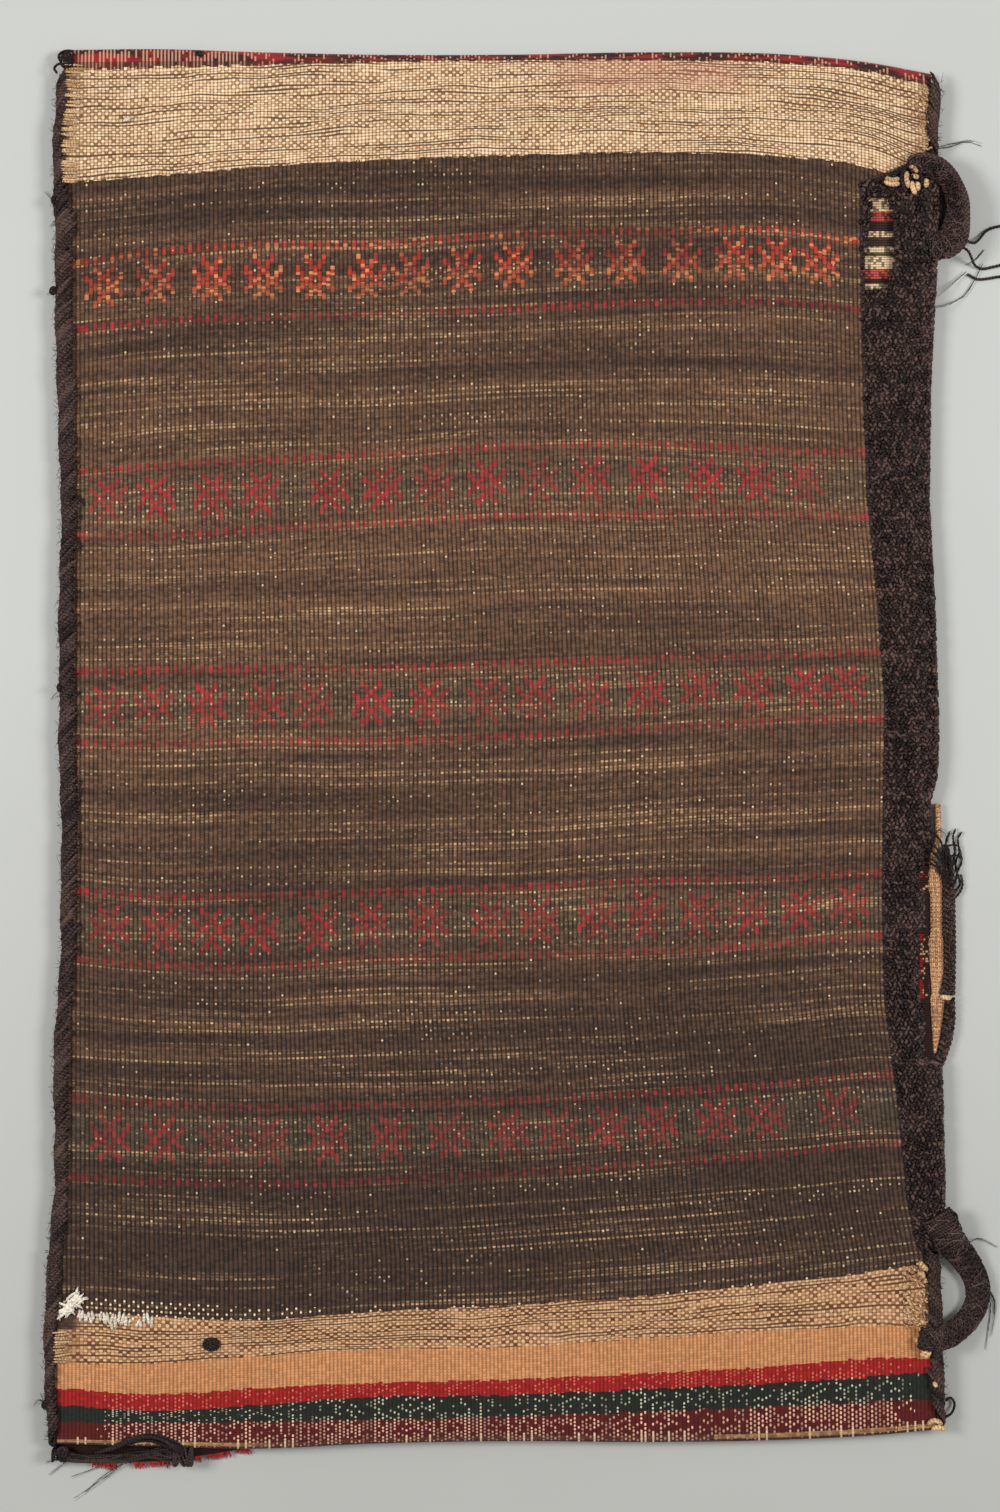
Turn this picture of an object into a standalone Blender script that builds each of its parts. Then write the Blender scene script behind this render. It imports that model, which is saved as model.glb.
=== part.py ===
"""A pile-faced woven bag, laid on its pile with its flatwoven back up.

+Y runs from the open mouth to the fold, +Z is up, and the floor is at zero. Sizes are in millimetres
and are turned into metres where a mesh is made.
"""

from collections import namedtuple
from math import pi

import bmesh
import bpy
import numpy as np

MM = 0.001
GAP = 0.4  # clearance between pieces that touch
ORIGIN = np.array([1.0, 0.5, 0.0])  # middle of the bag on the floor, which becomes the part's origin

# Thicknesses of the cloth's layers, from the floor up
PILE = 4.0
FOUNDATION = 2.0
INSIDE = 0.9
BACK = 2.0

# The flat end strip beside the fold has no pile, so the bag is thinner there
END_STRIP = 26.0
PILE_SLOPE = 22.0

# The fold's outer radius, and the turned hem of the back at the mouth
FOLD_RADIUS = (FOUNDATION + INSIDE + BACK) / 2
HEM_DEPTH = 4.0
HEM_RISE = 0.7

# An overcast edge: how far it reaches over the cloth, its wall and its stitches
LEFT_REACH = 13.0
RIGHT_REACH = 8.5
CLASP_WALL = 2.0
CLASP_SLOPE = 20.0
STITCH_PITCH = 5.3
STITCH_SLANT = 4.0
STITCH_RIDGE = 0.9
CLOTH_INSET = CLASP_WALL + STITCH_RIDGE + 2.2

# The goat-hair band: its outer wall beside the lower run, and its knots' unevenness
BAND_TOP = 371.0
BAND_BOTTOM = -306.0
BAND_WALL = 3.0
BAND_RISE = 0.9
BAND_LUMP = 0.5
WINDOW_CENTRE = (225.6, 318.0, 10.0)
WINDOW_SIZE = (15.0, 56.0, 30.0)

# The slit, where the band's outer side is torn away and the face's edge lies bare
SLIT_TOP = -54.0
SLIT_BOTTOM = -191.0
SLIT_TURN = 4.0
SLIT_FACE_EDGE = 256.3

# Outer edges of the whole bag, by place up the bag
Side = namedtuple("Side", "along left right")
SIDES = [
    Side(428, -285.0, 264.0),
    Side(383, -287.5, 261.0),
    Side(346, -287.0, 260.5),
    Side(309, -286.5, 260.0),
    Side(234, -285.5, 256.0),
    Side(160, -282.5, 255.0),
    Side(86, -284.0, 259.0),
    Side(11, -284.0, 261.0),
    Side(-54, -282.5, 259.5),
    Side(-119, -283.0, 261.0),
    Side(-193, -287.5, 263.5),
    Side(-268, -286.5, 265.0),
    Side(-312, -291.5, 264.0),
    Side(-361, -293.0, 265.0),
    Side(-398, -293.0, 267.0),
    Side(-430, -290.0, 266.5),
]

# Right edge of the upper run, which steps in where the goat-hair band begins
Edge = namedtuple("Edge", "along right")
BACK_EDGE = [
    Edge(428, 258.0),
    Edge(376, 256.0),
    Edge(371, 248.0),
    Edge(365, 238.0),
    Edge(360, 225.0),
    Edge(358, 213.5),
    Edge(284, 214.5),
    Edge(222, 216.0),
    Edge(160, 218.5),
    Edge(98, 224.5),
    Edge(36, 229.0),
    Edge(-88, 228.0),
    Edge(-150, 229.0),
    Edge(-212, 237.0),
    Edge(-274, 243.5),
    Edge(-303, 249.0),
    Edge(-312, 258.0),
    Edge(-361, 259.0),
    Edge(-430, 261.0),
]

# Outer edge of the goat-hair band
BAND_EDGE = [
    Edge(371, 261.5),
    Edge(309, 260.0),
    Edge(234, 256.0),
    Edge(160, 255.0),
    Edge(86, 259.0),
    Edge(11, 261.0),
    Edge(-12, 260.0),
    Edge(-27, 256.0),
    Edge(-55, 256.0),
    Edge(-58, 251.0),
    Edge(-187, 251.0),
    Edge(-190, 263.0),
    Edge(-268, 265.0),
    Edge(-306, 264.0),
]

# The fold and the two ends of the mouth, by place across the bag
End = namedtuple("End", "across along")
FOLD_LINE = [
    End(-289, 429.5),
    End(-270, 437.5),
    End(-215, 439.0),
    End(-103, 436.0),
    End(46, 437.0),
    End(120, 438.5),
    End(195, 435.0),
    End(232, 429.0),
    End(264, 423.5),
]
BACK_HEM = [
    End(-291, -425.5),
    End(-182, -427.5),
    End(-122, -427.0),
    End(-10, -423.5),
    End(108, -424.0),
    End(188, -420.0),
    End(266, -415.0),
]
FACE_END = [
    End(-291, -431.0),
    End(-252, -438.5),
    End(-215, -436.5),
    End(-177, -430.5),
    End(-155, -424.0),
    End(266, -412.5),
]

# Rows of the cloth's grid, by place up the middle of the bag
COLUMNS = 15
FACE_ROWS = [-419, -400, -361, -312, -268, -230, -193, -190.5, -189, -119, -56, -54, -27, -12, 11, 48, 86, 123]
FACE_ROWS += [160, 197, 234, 272, 309, 346, 376, 388, 399, 410, 421]
BACK_ROWS = [-419.5, -415, -398, -361, -335, -312, -303, -274, -243, -212, -181, -150, -119, -88, -46, -5, 36]
BACK_ROWS += [67, 98, 129, 160, 191, 222, 253, 284, 316, 340, 358, 360, 365, 371, 376, 388, 399, 410, 421]
LEVEL_ROWS = (-385.0, 376.0)

# The selvedge that the slit lays bare, and the two torn lengths of edging beside it
Strip = namedtuple("Strip", "along centre width")
SELVEDGE = [
    Strip(-29, 258.7, 4.0),
    Strip(-44, 259.2, 5.0),
    Strip(-62, 259.4, 5.6),
    Strip(-68, 260.4, 7.0),
    Strip(-72, 261.2, 9.4),
    Strip(-92, 261.3, 7.6),
    Strip(-111, 260.8, 6.6),
    Strip(-116, 261.0, 9.6),
    Strip(-145, 261.2, 9.6),
    Strip(-160, 261.8, 8.4),
    Strip(-175, 260.8, 6.2),
    Strip(-182, 260.2, 3.4),
]
TORN_UPPER = [
    Strip(-56, 267.4, 4.4),
    Strip(-72, 268.8, 5.6),
    Strip(-88, 269.1, 6.8),
    Strip(-120, 269.4, 6.6),
    Strip(-147.5, 269.4, 6.2),
]
TORN_LOWER = [
    Strip(-149.5, 269.8, 5.6),
    Strip(-163, 269.6, 6.8),
    Strip(-176, 268.4, 7.4),
    Strip(-189.7, 263.6, 6.0),
]
SELVEDGE_HEIGHT = 5.0
TORN_HEIGHT = 6.2

# Routes of the centre lines, as places across, along and up
UPPER_LOOP = [
    (246, 364, 11.9),
    (256, 368.5, 12.8),
    (266, 365.5, 14.2),
    (272.5, 357.5, 15.4),
    (275.2, 346, 16.2),
    (275.4, 334, 16.2),
    (273.2, 323, 15.2),
    (267.2, 314.5, 13.6),
    (258, 309.5, 12.0),
]
LOWER_LOOP = [
    (259, -291, 12.1),
    (266, -292.5, 11.8),
    (273.5, -299, 8.8),
    (280.5, -309, 5.2),
    (285.6, -319, 3.7),
    (288.2, -331, 3.7),
    (286.2, -343, 3.7),
    (280.4, -352, 4.8),
    (273.0, -358, 9.2),
    (266, -361, 14.0),
    (257, -361.5, 15.3),
]
LOCK = [
    (-284, -432.2, 8.8),
    (-272, -432.8, 9.0),
    (-256, -433.2, 9.0),
    (-240, -432.8, 8.8),
    (-226, -432.4, 8.8),
    (-214, -432.4, 9.4),
    (-204, -432.0, 9.0),
]
TIE_LONG = [
    (277.6, 320.9, 14.2),
    (281.8, 319.2, 12.8),
    (284.6, 319.6, 8.8),
    (288.0, 322.6, 3.8),
    (292.2, 327.6, 1.4),
    (297.0, 330.0, 1.2),
    (303.0, 331.4, 1.2),
    (309.0, 334.0, 1.2),
    (315.0, 334.4, 1.2),
]
TIE_LOOPED = [
    (275.6, 316.9, 13.9),
    (280.2, 313.6, 12.6),
    (282.8, 310.2, 8.0),
    (285.4, 306.6, 3.2),
    (290.0, 304.4, 1.3),
    (297.0, 305.6, 1.2),
    (304.0, 307.0, 1.2),
    (310.5, 305.8, 1.2),
    (312.5, 301.8, 1.2),
    (309.0, 298.6, 1.2),
    (302.0, 299.6, 1.2),
    (294.0, 298.4, 1.2),
    (287.0, 298.0, 1.2),
    (281.0, 301.0, 1.2),
]
STRANDS = [
    [(269.0, -70, 4.0), (267.4, -62, 7.6), (268.6, -54, 8.6), (271.6, -49, 8.2)],
    [(271.0, -76, 4.0), (274.6, -69, 4.4), (273.4, -60, 3.4), (276.8, -55, 2.2), (274.8, -47, 1.4)],
    [(271.4, -86, 3.6), (276.6, -80, 3.2), (275.6, -73, 2.0), (278.4, -66, 1.4)],
]
TIE_THICKNESS = 2.0
STRAND_THICKNESS = 1.8

FABRICS = {
    "flatweave": ((0.105, 0.060, 0.042), 0.9),
    "dark_wool": ((0.045, 0.028, 0.022), 0.9),
    "goat_hair": ((0.030, 0.018, 0.015), 0.75),
    "tan_wool": ((0.50, 0.27, 0.13), 0.9),
    "yarn": ((0.035, 0.024, 0.020), 0.85),
}


def material(name):
    """The fabric of that name, made once."""
    found = bpy.data.materials.get(name)
    if found:
        return found
    colour, roughness = FABRICS[name]
    made = bpy.data.materials.new(name)
    made.use_nodes = True
    shader = made.node_tree.nodes["Principled BSDF"]
    shader.inputs["Base Color"].default_value = (*colour, 1.0)
    shader.inputs["Roughness"].default_value = roughness
    shader.inputs["Metallic"].default_value = 0.0
    return made


def metres(points):
    """Points in millimetres, as metres from the part's origin."""
    return (np.asarray(points) - ORIGIN) * MM


def column(rows, known, wanted, at):
    """The table's wanted column at the places given in its known column, on straight lines."""
    rows = sorted(rows, key=lambda row: getattr(row, known))
    places = [getattr(row, known) for row in rows]
    values = [getattr(row, wanted) for row in rows]
    return np.interp(at, places, values)


def ease(value, start, end):
    """0 up to start, 1 past end, and a smooth step between them."""
    share = np.clip((value - start) / (end - start), 0.0, 1.0)
    return share * share * (3 - 2 * share)


def add_piece(name, points, faces, fabric, collection):
    """A closed piece from points in millimetres, with its faces turned outwards."""
    mesh = bpy.data.meshes.new(name)
    mesh.from_pydata(metres(points), [], faces)
    body = bmesh.new()
    body.from_mesh(mesh)
    bmesh.ops.recalc_face_normals(body, faces=body.faces)
    bmesh.ops.triangulate(body, faces=body.faces)
    body.to_mesh(mesh)
    body.free()
    mesh.materials.append(material(fabric))
    mesh.shade_smooth()
    piece = bpy.data.objects.new(name, mesh)
    collection.objects.link(piece)
    return piece


def loft(name, sections, fabric, collection):
    """A closed piece through rings of points, one ring a station, with both ends capped."""
    stations, sides, _ = sections.shape
    faces = []
    for station in range(stations - 1):
        for side in range(sides):
            after = (side + 1) % sides
            here = station * sides
            ahead = here + sides
            faces.append((here + side, here + after, ahead + after, ahead + side))
    faces.append(tuple(range(sides)))
    faces.append(tuple(reversed(range((stations - 1) * sides, stations * sides))))
    return add_piece(name, sections.reshape(-1, 3), faces, fabric, collection)


def smooth_path(knots, count):
    """Evenly spaced points on a smooth curve through the knots."""
    knots = np.array(knots, float)
    padded = np.vstack([2 * knots[0] - knots[1], knots, 2 * knots[-1] - knots[-2]])
    place = np.linspace(0, len(knots) - 1.000001, 40 * len(knots))
    start = place.astype(int)
    share = (place - start)[:, None]
    before, here, after, beyond = (padded[start + step] for step in range(4))
    slope = after - before
    bend = 2 * before - 5 * here + 4 * after - beyond
    twist = 3 * (here - after) + beyond - before
    curve = here + 0.5 * share * (slope + share * (bend + share * twist))
    steps = np.linalg.norm(np.diff(curve, axis=0), axis=1)
    run = np.concatenate([[0], np.cumsum(steps)])
    even = np.linspace(0, run[-1], count)
    return np.stack([np.interp(even, run, curve[:, axis]) for axis in range(3)], axis=1)


def swept(path, width, height, sides, tilt=0.0):
    """Rings of a flat oval carried along a path. Its width lies level, and tilt leans it, in degrees."""
    ahead = np.gradient(path, axis=0)
    ahead /= np.linalg.norm(ahead, axis=1)[:, None]
    across = np.cross(ahead, [0, 0, 1])
    across /= np.linalg.norm(across, axis=1)[:, None]
    up = np.cross(across, ahead)
    lean = np.radians(np.broadcast_to(tilt, len(path)))[:, None]
    wide = across * np.cos(lean) + up * np.sin(lean)
    tall = up * np.cos(lean) - across * np.sin(lean)
    turn = 2 * pi * (np.arange(sides) + 0.5) / sides
    half_width = np.broadcast_to(width, len(path))[:, None, None] / 2
    half_height = np.broadcast_to(height, len(path))[:, None, None] / 2
    sideways = wide[:, None] * half_width * np.cos(turn)[None, :, None]
    upwards = tall[:, None] * half_height * np.sin(turn)[None, :, None]
    return path[:, None] + sideways + upwards


def swell(across, along):
    """Low swells of the upper run, from 0 to about 1.6 mm."""
    wave = np.sin(across / 74 + along / 160) * np.sin(along / 62 - across / 210 + 0.8)
    return 0.8 * (1 + wave)


def squeeze(across, along, right_rows):
    """1 where an overcast edge presses the layers together, and 0 on the open cloth."""
    left = across - column(SIDES, "along", "left", along)
    right = column(right_rows, "along", "right", along) - across
    return 1 - ease(np.minimum(left, right), LEFT_REACH - 4, LEFT_REACH + CLASP_SLOPE)


def face_levels(across, along):
    """Underside and top of the lower run."""
    fold = column(FOLD_LINE, "across", "along", across)
    pile = ease(fold - along, END_STRIP, END_STRIP + PILE_SLOPE)
    pressed = squeeze(across, along, SIDES)
    low = (CLASP_WALL + GAP) * pressed
    top = FOUNDATION + PILE * pile
    return low, np.maximum(top - 0.5 * pressed * pile, low + FOUNDATION)


def back_levels(across, along):
    """Underside and top of the upper run."""
    _, face_top = face_levels(across, along)
    open_cloth = 1 - squeeze(across, along, BACK_EDGE)
    past_fold = ease(column(FOLD_LINE, "across", "along", across) - along, 4, 40)
    low = face_top + INSIDE + swell(across, along) * open_cloth * past_fold
    hem = 1 - ease(along - column(BACK_HEM, "across", "along", across), HEM_DEPTH - 1, HEM_DEPTH + 2)
    return low, low + BACK + HEM_RISE * hem


def face_right(along):
    """Right edge of the lower run, inside the band's outer wall or the bare selvedge."""
    inside = np.minimum(column(BAND_EDGE, "along", "right", along), column(SIDES, "along", "right", along))
    in_slit = (along > SLIT_BOTTOM + 1) & (along < SLIT_TOP - 1)
    return np.where(in_slit, SLIT_FACE_EDGE, inside - BAND_WALL - GAP - 1.0)


def back_right(along):
    """Right edge of the upper run."""
    return column(BACK_EDGE, "along", "right", along)


def cloth_grid(rows, right_edge, mouth_end):
    """Places across and along one run of the cloth, as grids of rows by columns.

    The rows are level, but near the mouth and the fold they bend to the line of that end.
    """
    mouth = column(mouth_end, "across", "along", 0.0)
    fold = column(FOLD_LINE, "across", "along", 0.0) - FOLD_RADIUS
    rows = np.array([mouth, *rows, fold], float)
    left = column(SIDES, "along", "left", rows)[:, None] + CLOTH_INSET
    right = right_edge(rows)[:, None]
    across = left + np.linspace(0, 1, COLUMNS)[None, :] * (right - left)
    to_mouth = column(mouth_end, "across", "along", across) - mouth
    to_fold = column(FOLD_LINE, "across", "along", across) - FOLD_RADIUS - fold
    near_mouth = np.clip((LEVEL_ROWS[0] - rows) / (LEVEL_ROWS[0] - mouth), 0, 1)[:, None]
    near_fold = np.clip((rows - LEVEL_ROWS[1]) / (fold - LEVEL_ROWS[1]), 0, 1)[:, None]
    return across, rows[:, None] + near_mouth * to_mouth + near_fold * to_fold


def half_turn(start, finish, radius):
    """Rows of the fold between the last row of the lower run and the first of the upper run."""
    turn = np.radians([-60, -30, 0, 30, 60])[:, None, None]
    rows = start + (1 + np.sin(turn)) / 2 * (finish - start)
    rows[:, :, 1] += radius * np.cos(turn[:, :, 0])
    return rows


def make_cloth():
    """The folded cloth: a pile face below, a fold at the top edge and a flatwoven back above."""
    across, along = cloth_grid(FACE_ROWS, face_right, FACE_END)
    face_low, face_top = face_levels(across, along)
    face_outer = np.stack([across, along, face_low], axis=2)
    face_inner = np.stack([across, along, face_top], axis=2)

    across, along = cloth_grid(BACK_ROWS, back_right, BACK_HEM)
    back_low, back_top = back_levels(across, along)
    back_outer = np.stack([across, along, back_top], axis=2)[::-1]
    back_inner = np.stack([across, along, back_low], axis=2)[::-1]

    outer_turn = half_turn(face_outer[-1], back_outer[0], FOLD_RADIUS)
    inner_turn = half_turn(face_inner[-1], back_inner[0], FOLD_RADIUS - FOUNDATION)
    outer = np.concatenate([face_outer, outer_turn, back_outer])
    inner = np.concatenate([face_inner, inner_turn, back_inner])

    rows = len(outer)
    count = rows * COLUMNS
    faces = []
    for row in range(rows - 1):
        for place in range(COLUMNS - 1):
            here = row * COLUMNS + place
            corners = (here, here + 1, here + COLUMNS + 1, here + COLUMNS)
            faces.append(corners)
            faces.append(tuple(count + corner for corner in reversed(corners)))
        for here in (row * COLUMNS, row * COLUMNS + COLUMNS - 1):
            faces.append((here, here + COLUMNS, count + here + COLUMNS, count + here))
    for row in (0, rows - 1):
        for place in range(COLUMNS - 1):
            here = row * COLUMNS + place
            faces.append((here, here + 1, count + here + 1, count + here))
    points = np.concatenate([outer.reshape(-1, 3), inner.reshape(-1, 3)])
    add_piece("bag_cloth", points, faces, "flatweave", bag)


def make_edging(name, side, high, low, reach):
    """Overcast stitches that clasp both layers: a C section with one slanted ridge a stitch."""
    inward = 1 if side == "left" else -1
    stitches = int((high - low) / STITCH_PITCH)
    along = np.linspace(low, high, 2 * stitches + 1)
    ridge = STITCH_RIDGE * (np.arange(len(along)) % 2)
    edge = column(SIDES, "along", side, along) + inward * STITCH_RIDGE
    tops = [back_levels(edge + inward * place, along)[1] for place in (4, reach / 2, reach)]
    top = np.max(tops, axis=0) + GAP + 0.3
    slant = STITCH_SLANT * np.minimum(1, np.minimum(along - low, high - along) / STITCH_SLANT)
    floor = np.zeros(len(along))
    wall = CLASP_WALL
    # Each corner: distance in from the edge, height, share of the slant, and the ridge out and up
    corners = [
        (reach, top, 1.0, 0.0, 0.0),
        (0.7 * reach - 2.0, top + wall, 0.5, 0.0, 1.0),
        (1.0, top / 2 + 2.0, 0.0, 1.0, 0.0),
        (1.2, floor, -0.3, 0.0, 0.0),
        (reach - 3, floor, -0.3, 0.0, 0.0),
        (wall + 1.0, floor + wall - 0.2, -0.2, 0.0, 0.0),
        (wall + 1.0, top, 0.0, 0.0, 0.0),
    ]
    sections = np.empty((len(along), len(corners), 3))
    for place, (inset, height, share, out, up) in enumerate(corners):
        sections[:, place, 0] = edge + inward * (inset - out * ridge)
        sections[:, place, 1] = along + share * slant
        sections[:, place, 2] = height + up * ridge
    loft(name, sections, "dark_wool", bag)


def make_band():
    """The knotted goat-hair band: a lumpy slab on the lower run that turns down round its edge."""
    corners = [row.along for row in BACK_EDGE + BAND_EDGE if BAND_BOTTOM < row.along < BAND_TOP]
    turns = [SLIT_TOP, SLIT_TOP + SLIT_TURN, SLIT_BOTTOM, SLIT_BOTTOM - SLIT_TURN]
    along = np.unique(np.concatenate([np.linspace(BAND_BOTTOM, BAND_TOP, 54), corners, turns]))
    inner = column(BACK_EDGE, "along", "right", along) + GAP + 0.5
    outer = column(BAND_EDGE, "along", "right", along)
    below_top = 1 - ease(along, SLIT_TOP, SLIT_TOP + SLIT_TURN)
    in_slit = ease(along, SLIT_BOTTOM - SLIT_TURN, SLIT_BOTTOM) * below_top
    step = np.arange(len(along))
    lump = BAND_LUMP * np.sin(2.4 * step)
    wander = BAND_LUMP * np.sin(1.7 * step + 1)
    middle = (inner + outer) / 2
    rest_inner = face_levels(inner, along)[1] + GAP
    rest_middle = face_levels(middle, along)[1] + GAP
    rest_outer = face_levels(outer - BAND_WALL, along)[1] + GAP
    crown = np.maximum(back_levels(inner - 1, along)[1], rest_middle + 2.6) + BAND_RISE
    foot = rest_outer * in_slit
    shoulder = rest_outer + 1.2
    places = [
        (inner, rest_inner),
        (inner + 0.4 + 0.3 * wander, crown - 0.6),
        (middle, crown + lump),
        (outer - 2.2, crown - 0.9 - 0.5 * lump),
        (outer + 0.6 * wander, shoulder),
        (outer - 0.5, foot),
        (outer - BAND_WALL, foot),
        (outer - BAND_WALL - 0.4, rest_outer + 0.2),
        (middle, rest_middle),
    ]
    sections = np.stack([np.stack([across, along, height], axis=1) for across, height in places], axis=1)
    band = loft("joining_band", sections, "goat_hair", bag)

    cutter = bmesh.new()
    bmesh.ops.create_cone(cutter, cap_ends=True, segments=12, radius1=0.5, radius2=0.5, depth=1.0)
    bmesh.ops.scale(cutter, vec=np.array(WINDOW_SIZE) * MM, verts=cutter.verts)
    bmesh.ops.translate(cutter, vec=metres(WINDOW_CENTRE), verts=cutter.verts)
    mesh = bpy.data.meshes.new("window_cutter")
    cutter.to_mesh(mesh)
    cutter.free()
    window = bpy.data.objects.new("window_cutter", mesh)
    window.hide_render = True
    window.display_type = "WIRE"
    cutters.objects.link(window)
    cut = band.modifiers.new("window", "BOOLEAN")
    cut.operation = "DIFFERENCE"
    cut.solver = "EXACT"
    cut.object = window


def make_strip(name, rows, height, spacing, ridge, fabric):
    """A strip that lies on the floor, as an oval of the table's widths with cross ridges."""
    top, bottom = rows[0].along, rows[-1].along
    along = np.linspace(bottom, top, int((top - bottom) / spacing) + 1)
    centre = column(rows, "along", "centre", along)
    width = column(rows, "along", "width", along)
    rise = ridge * (np.arange(len(along)) % 2)
    path = np.stack([centre, along, np.full(len(along), height / 2)], axis=1)
    return loft(name, swept(path, width - 2 * ridge + 2 * rise, height, 8), fabric, bag)


def fray(edging, routes):
    """Joins frayed strands to the torn end of an edging."""
    for number, route in enumerate(routes):
        path = smooth_path(route, 4 * len(route))
        rings = swept(path, STRAND_THICKNESS, STRAND_THICKNESS, 4)
        strand = loft(f"strand_{number}", rings, "dark_wool", cutters)
        strand.hide_render = True
        strand.display_type = "WIRE"
        join = edging.modifiers.new(strand.name, "BOOLEAN")
        join.operation = "UNION"
        join.solver = "EXACT"
        join.object = strand


def make_loop(name, route, widths, heights, tilts, count):
    """A closing loop: a flat oval cord along its route, with its sizes given from end to end."""
    path = smooth_path(route, count)
    share = np.linspace(0, 1, count)
    ridge = 0.25 * (-1) ** np.arange(count)
    width = np.interp(share, np.linspace(0, 1, len(widths)), widths) + ridge
    height = np.interp(share, np.linspace(0, 1, len(heights)), heights) + ridge
    tilt = np.interp(share, np.linspace(0, 1, len(tilts)), tilts)
    loft(name, swept(path, width, height, 8, tilt), "goat_hair", bag)


def make_lock():
    """The lock of dark yarn along the hem, with a knot near its free end."""
    path = smooth_path(LOCK, 25)
    share = np.linspace(0, 1, len(path))
    knot = np.exp(-(((share - 0.84) / 0.09) ** 2))
    corner = np.exp(-((share / 0.12) ** 2))
    thickness = 4.6 + 4.4 * knot + 2.6 * corner + 0.4 * np.sin(2.6 * np.arange(len(path)))
    thickness[0] *= 0.6
    thickness[-1] *= 0.5
    height = np.minimum(thickness, 5.8)
    loft("corner_lock", swept(path, thickness, height, 7), "dark_wool", bag)


def make_tie(name, route):
    """A loose yarn end, as a round tube along its route."""
    curve = bpy.data.curves.new(name, "CURVE")
    curve.dimensions = "3D"
    curve.bevel_depth = TIE_THICKNESS / 2 * MM
    curve.bevel_resolution = 2
    curve.use_fill_caps = True
    path = smooth_path(route, 2 * len(route) + 2)
    spline = curve.splines.new("POLY")
    spline.points.add(len(path) - 1)
    spline.points.foreach_set("co", np.hstack([metres(path), np.ones((len(path), 1))]).ravel())
    curve.materials.append(material("yarn"))
    bag.objects.link(bpy.data.objects.new(name, curve))


for old in list(bpy.data.objects):
    bpy.data.objects.remove(old)

bag = bpy.data.collections.new("pile_faced_bag")
bpy.context.scene.collection.children.link(bag)
cutters = bpy.data.collections.new("cutters")
bpy.context.scene.collection.children.link(cutters)

make_cloth()
make_edging("left_edging", "left", 424.0, -426.0, LEFT_REACH)
make_edging("upper_right_edging", "right", 419.0, BAND_TOP + 3, RIGHT_REACH)
make_edging("lower_right_edging", "right", BAND_BOTTOM - 3, -414.0, RIGHT_REACH)
make_band()
make_strip("tan_selvedge", SELVEDGE, SELVEDGE_HEIGHT, 5.0, 0.3, "tan_wool")
torn = make_strip("torn_edging_upper", TORN_UPPER, TORN_HEIGHT, STITCH_PITCH / 2, 0.5, "dark_wool")
fray(torn, STRANDS)
make_strip("torn_edging_lower", TORN_LOWER, TORN_HEIGHT, STITCH_PITCH / 2, 0.5, "dark_wool")
make_loop("upper_loop", UPPER_LOOP, [7, 10, 11, 10, 7], [3.6, 4.2, 4.2, 4.2, 3.6], [0, 25, 30, 25, 0], 34)
make_loop("lower_loop", LOWER_LOOP, [15, 13, 12, 12, 12, 10], [5.5, 6.4, 6.6, 6.6, 6.2, 4.6], [0, 0], 40)
make_lock()
make_tie("tie_end_long", TIE_LONG)
make_tie("tie_end_looped", TIE_LOOPED)
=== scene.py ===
"""The looks of a pile-faced woven bag that lies on its pile, with its flatwoven back up.

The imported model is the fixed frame. Tables and shapes are in millimetres from the part's origin, with
+Y from the open mouth to the fold, and are turned into metres where a mesh is made.
"""

import bpy
import numpy as np
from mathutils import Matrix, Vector


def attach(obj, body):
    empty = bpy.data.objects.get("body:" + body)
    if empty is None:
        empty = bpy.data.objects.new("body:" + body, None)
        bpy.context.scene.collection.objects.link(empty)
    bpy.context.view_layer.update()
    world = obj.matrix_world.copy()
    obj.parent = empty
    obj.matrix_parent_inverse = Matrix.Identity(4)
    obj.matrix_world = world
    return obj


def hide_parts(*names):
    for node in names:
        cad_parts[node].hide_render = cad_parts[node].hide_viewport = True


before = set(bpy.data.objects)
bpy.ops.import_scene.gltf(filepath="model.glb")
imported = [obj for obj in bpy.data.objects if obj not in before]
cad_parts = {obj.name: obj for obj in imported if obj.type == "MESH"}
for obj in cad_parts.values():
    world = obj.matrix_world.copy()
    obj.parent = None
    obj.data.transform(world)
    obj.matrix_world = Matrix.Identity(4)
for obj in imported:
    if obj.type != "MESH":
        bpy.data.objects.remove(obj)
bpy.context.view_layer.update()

# The view: the camera hangs straight above the bag, between two soft lights at its left and right, and
# the bag lies on a plain pale floor.
MM = 0.001
VIEW_CENTRE = (-10.9, 0.7)
VIEW_TALL = 937.4
VIEW_HEIGHT = 2200.0
CLOTH_TOP = 10.0
SENSOR = 24.0
LAMP_POWER = 62.0
LAMP_SIZE = 1.1
ROOM_LIGHT = 0.34

camera_data = bpy.data.cameras.new("camera")
camera_data.sensor_fit = "VERTICAL"
camera_data.sensor_height = SENSOR
camera_data.lens = SENSOR * VIEW_HEIGHT / VIEW_TALL
camera = bpy.data.objects.new("camera", camera_data)
camera.location = (VIEW_CENTRE[0] * MM, VIEW_CENTRE[1] * MM, (VIEW_HEIGHT + CLOTH_TOP) * MM)
bpy.context.scene.collection.objects.link(camera)
bpy.context.scene.camera = camera
bpy.context.scene.view_settings.view_transform = "Standard"


def side_light(name, place, power, size):
    """A soft square light at a place in metres, turned to the middle of the bag."""
    data = bpy.data.lights.new(name, "AREA")
    data.energy = power
    data.size = size
    lamp = bpy.data.objects.new(name, data)
    lamp.location = place
    lamp.rotation_euler = (-Vector(place)).to_track_quat("-Z", "Y").to_euler()
    bpy.context.scene.collection.objects.link(lamp)


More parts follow.
